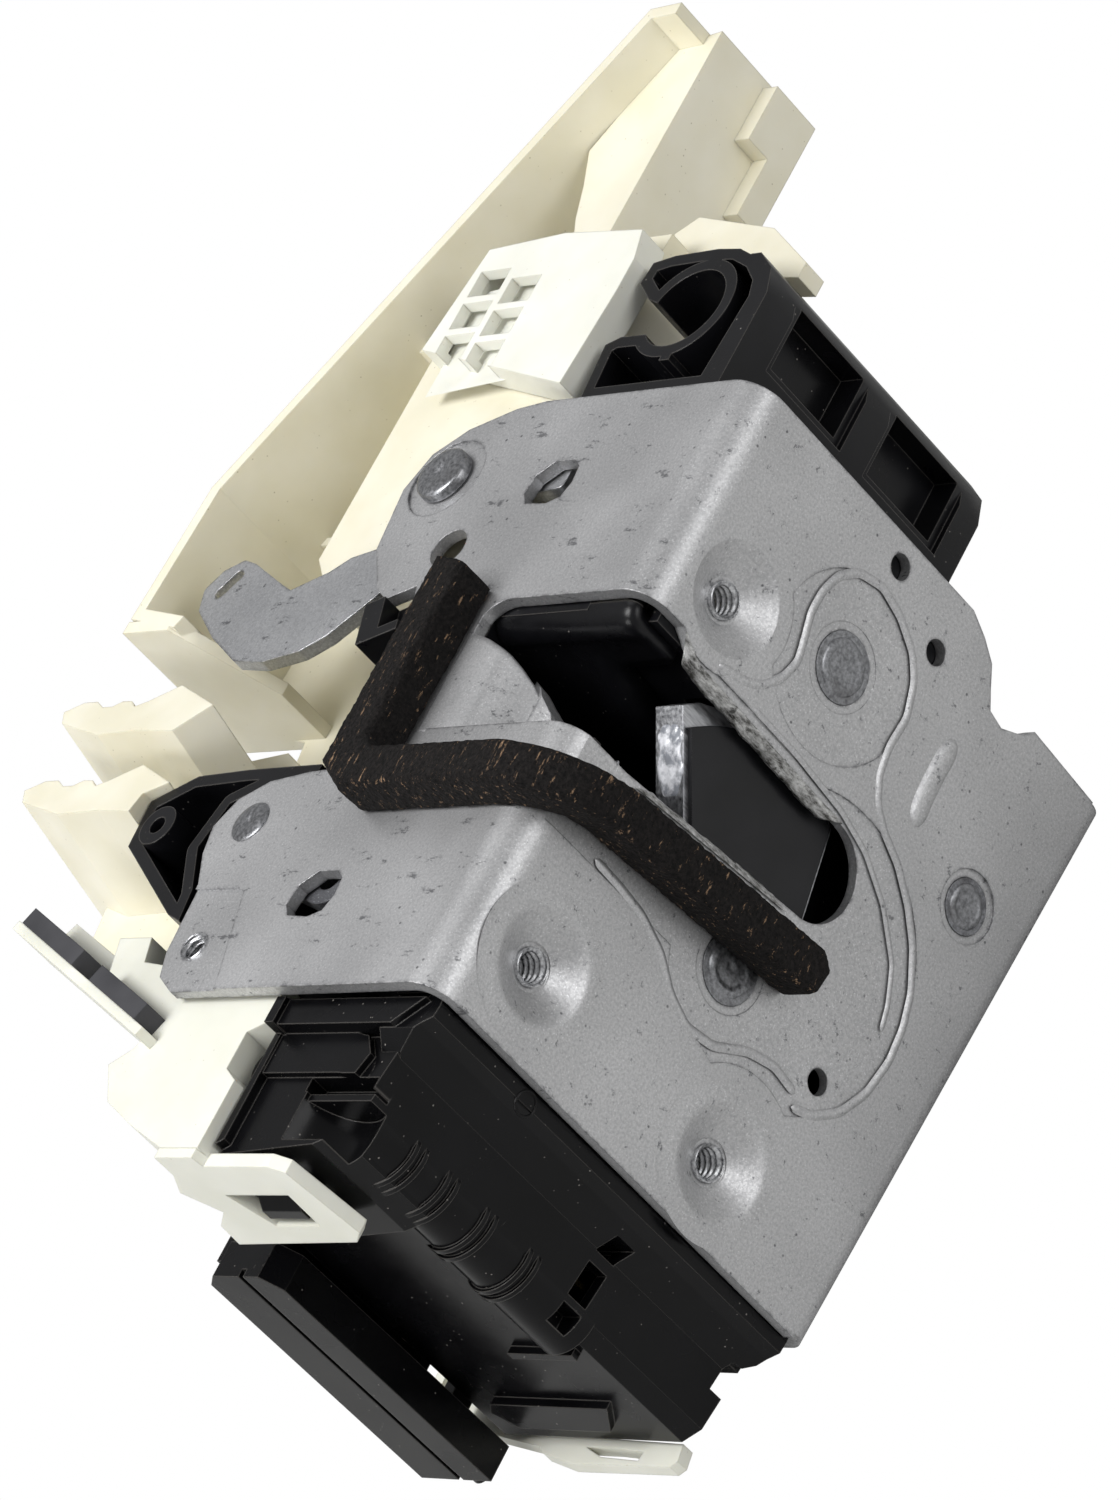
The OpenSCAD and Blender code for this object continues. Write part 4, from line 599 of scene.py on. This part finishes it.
def claw_grease():
    """Grease on the claw's flank: P(u, v) = middle + 4.6 u e + 2.45 v Y + h n, h a sum of sines, thin at the rim."""
    u, v = np.meshgrid(np.linspace(-1, 1, 70), np.linspace(-1, 1, 40), indexing="ij")
    wave = 0.5 + 0.25 * np.sin(5.1 * u + 1.3 * v) + 0.2 * np.sin(8.7 * v - 3.1 * u + 1)
    wave += 0.15 * np.sin(13 * u + 9 * v)
    reach = 1 - 0.25 * np.sin(3.1 * u + 0.8) ** 2
    rim = np.clip(1 - (u ** 4 + (v / reach) ** 4), 0, 1)
    h = -0.04 + (0.08 + 0.34 * np.clip(wave, 0, 1.2)) * rim ** 0.5
    e, n = np.array([0.813, 0, 0.582]), np.array([-0.582, 0, 0.813])
    middle = np.array([0.9, 5.9, -19.25]) - 1.3 * e
    rows = middle + 4.6 * u[..., None] * e + 2.45 * v[..., None] * np.array([0, 1.0, 0]) + h[..., None] * n
    surface("claw_grease", rows, smeared_grease("lithium_grease"), around=False, body="claw_body", out=n)


claw_grease()


def bracket_floor():
    """Thin moulded floor under the bracket's six windows, dished by 0.3 mm between its ribs."""
    u, v = np.meshgrid(np.linspace(0, 1, 30), np.linspace(0, 1, 30), indexing="ij")
    z = -2.7 - 0.3 * np.sin(3 * math.pi * u) ** 2 * np.sin(2 * math.pi * v) ** 2
    rows = np.stack([53.0 + 18.5 * u - 1.5 * v, 55.2 + 15.2 * v, z], 2)
    surface("bracket_floor", rows, LOOKS["cable_bracket"], around=False, out=(0, 0, 1))


bracket_floor()


def ejector_mark(name, at, r):
    """Raised ring of a mould ejector on the side cover's slanted wall: torus of radius r and tube 0.2 mm."""
    t, k = np.meshgrid(turn(40), turn(10), indexing="ij")
    rr = r + 0.2 * np.cos(k)
    across = rr * np.cos(t)
    rows = np.stack([at[0] + across, at[1] - 0.12 * across + 0.2 * np.sin(k), at[2] + rr * np.sin(t)], 2)
    surface(name, np.concatenate([rows, rows[:1]]), LOOKS["side_cover"], ends=False)


ejector_mark("ejector_ring", (-51.6, 2.2, -22.4), 1.6)


def soft(v, width):
    """Smoothstep from 0 to 1 as v goes from -width / 2 to width / 2."""
    k = np.clip(v / width + 0.5, 0, 1)
    return k * k * (3 - 2 * k)


def cover_relief():
    """Moulded relief on the far side of the white cover, a height field h(x, z) on its outer face.

    A rim, a crowned field over the motor, h = 1.5 sqrt(1 - (z / 12)^2), a stepped disc over the worm wheel with its
    boss, a ridge over the worm, straight stiffening ribs from the disc, and a ring round each screw.
    """
    x, z = np.meshgrid(np.arange(-51.7, 59.8, 0.45), np.arange(-79.7, -27.7, 0.45), indexing="ij")
    from_edge = np.minimum(np.minimum(x + 51.7, 59.7 - x), np.minimum(z + 79.7, -27.8 - z))
    sunk = -0.03
    h = sunk + 1.0 * (1 - soft(from_edge - 1.8, 0.7))
    dx, dz = x - WHEEL[0], z - WHEEL[1]
    r = np.hypot(dx, dz)
    motor = np.sqrt(np.clip(1 - ((z + 65) / 12) ** 2, 0, 1)) * soft(np.minimum(x + 38.5, -7.5 - x), 1.6)
    h = np.maximum(h, sunk + 1.5 * motor)
    h = np.maximum(h, sunk + 0.85 * soft(5.2 - np.abs(z + 65), 1.2) * soft(np.minimum(x + 9, 22 - x), 1.2))
    h = np.maximum(h, sunk + 1.1 * soft(16.4 - r, 0.8) - 0.45 * soft(13.2 - r, 0.8))
    h = np.maximum(h, sunk + 1.6 * soft(4.6 - r, 0.8) - 0.7 * soft(2.4 - r, 0.6))
    for a in np.radians((12, 68, 118, 162, 200, 318)):
        out, off = dx * math.cos(a) + dz * math.sin(a), dz * math.cos(a) - dx * math.sin(a)
        h = np.maximum(h, sunk + 0.8 * soft(0.7 - np.abs(off), 0.6) * soft(out - 16.2, 1.0))
    for screw_x, screw_z in ((-40.2, -33), (54, -33), (54, -74)):
        q = np.hypot(x - screw_x, z - screw_z)
        h = np.where(q < 5.9, sunk + 1.0 * soft(5.2 - q, 0.6) * soft(q - 3.7, 0.5), h)
    rows = np.stack([x, COVER_FACE_Y + h, z], 2)
    surface("cover_relief", rows, LOOKS["actuator_cover"], around=False, out=(0, 1, 0))


cover_relief()


# ---------------------------------------------------------------- camera, light and floor
# The camera's right, up and backward directions, one in each row, fitted to the plate's edges in the photo.
CAMERA_AXES = Matrix((
    (0.42753061, -0.67762358, -0.59836766),
    (0.79025367, -0.04128665, 0.6113874),
    (-0.43899512, -0.73424907, 0.51784322),
))
camera = put("camera", bpy.data.cameras.new("camera"))
camera.data.lens = 166.24
camera.data.sensor_width = 36.0
camera.data.clip_start = 0.05
camera.data.clip_end = 20.0
camera.matrix_world = Matrix.Translation((-0.3874, -0.6242, 0.4401)) @ CAMERA_AXES.transposed().to_4x4()
bpy.context.scene.camera = camera


def floor_material():
    """Pale floor that the camera sees as plain white."""
    m, t, shader, at = start("floor_pale")
    cloud = cloudy(t, at, 400, 1)
    pale = {0: cloud, 6: srgb("#b4b4b3"), 7: srgb("#bcbcbb")}
    t.links.new(add(t, "ShaderNodeMix", pale, out=2, data_type="RGBA"), shader.inputs["Base Color"])
    shader.inputs["Roughness"].default_value = 0.9
    white = add(t, "ShaderNodeEmission", {"Color": (1, 1, 1, 1), "Strength": 1.0})
    seen = add(t, "ShaderNodeLightPath", out="Is Camera Ray")
    both = add(t, "ShaderNodeMixShader", {0: seen, 1: shader.outputs[0], 2: white})
    t.links.new(both, t.nodes["Material Output"].inputs["Surface"])
    return m


def floor_sheet(half, z):
    """Square sheet under the part."""
    mesh = bpy.data.meshes.new("floor")
    mesh.from_pydata([(-half, -half, z), (half, -half, z), (half, half, z), (-half, half, z)], [], [(0, 1, 2, 3)])
    mesh.update()
    mesh.materials.append(floor_material())
    return put("floor", mesh)


floor = floor_sheet(3.0, bounds_at_load[0][2] - 0.0004)


def lamp(name, at, size, power, aim=(0.02, 0.04, -0.03)):
    """Round area lamp at a place in metres, aimed at the part."""
    data = bpy.data.lights.new(name, "AREA")
    data.shape = "DISK"
    data.size = size
    data.energy = power
    o = put(name, data)
    o.location = at
    o.rotation_mode = "QUATERNION"
    o.rotation_quaternion = (Vector(aim) - Vector(at)).to_track_quat("-Z", "Y")


lamp("key", (-0.3, 0.15, 1.0), 0.6, 11.0)
lamp("left", (-0.95, 0.25, 0.45), 0.5, 3.5)
lamp("low", (0.25, -1.0, 0.3), 0.6, 3.6)
world = bpy.data.worlds.new("studio")
bpy.context.scene.world = world
world.use_nodes = True
background = world.node_tree.nodes["Background"]
background.inputs["Color"].default_value = (1.0, 1.0, 1.0, 1.0)
background.inputs["Strength"].default_value = 0.42
bpy.context.scene.view_settings.view_transform = "Standard"
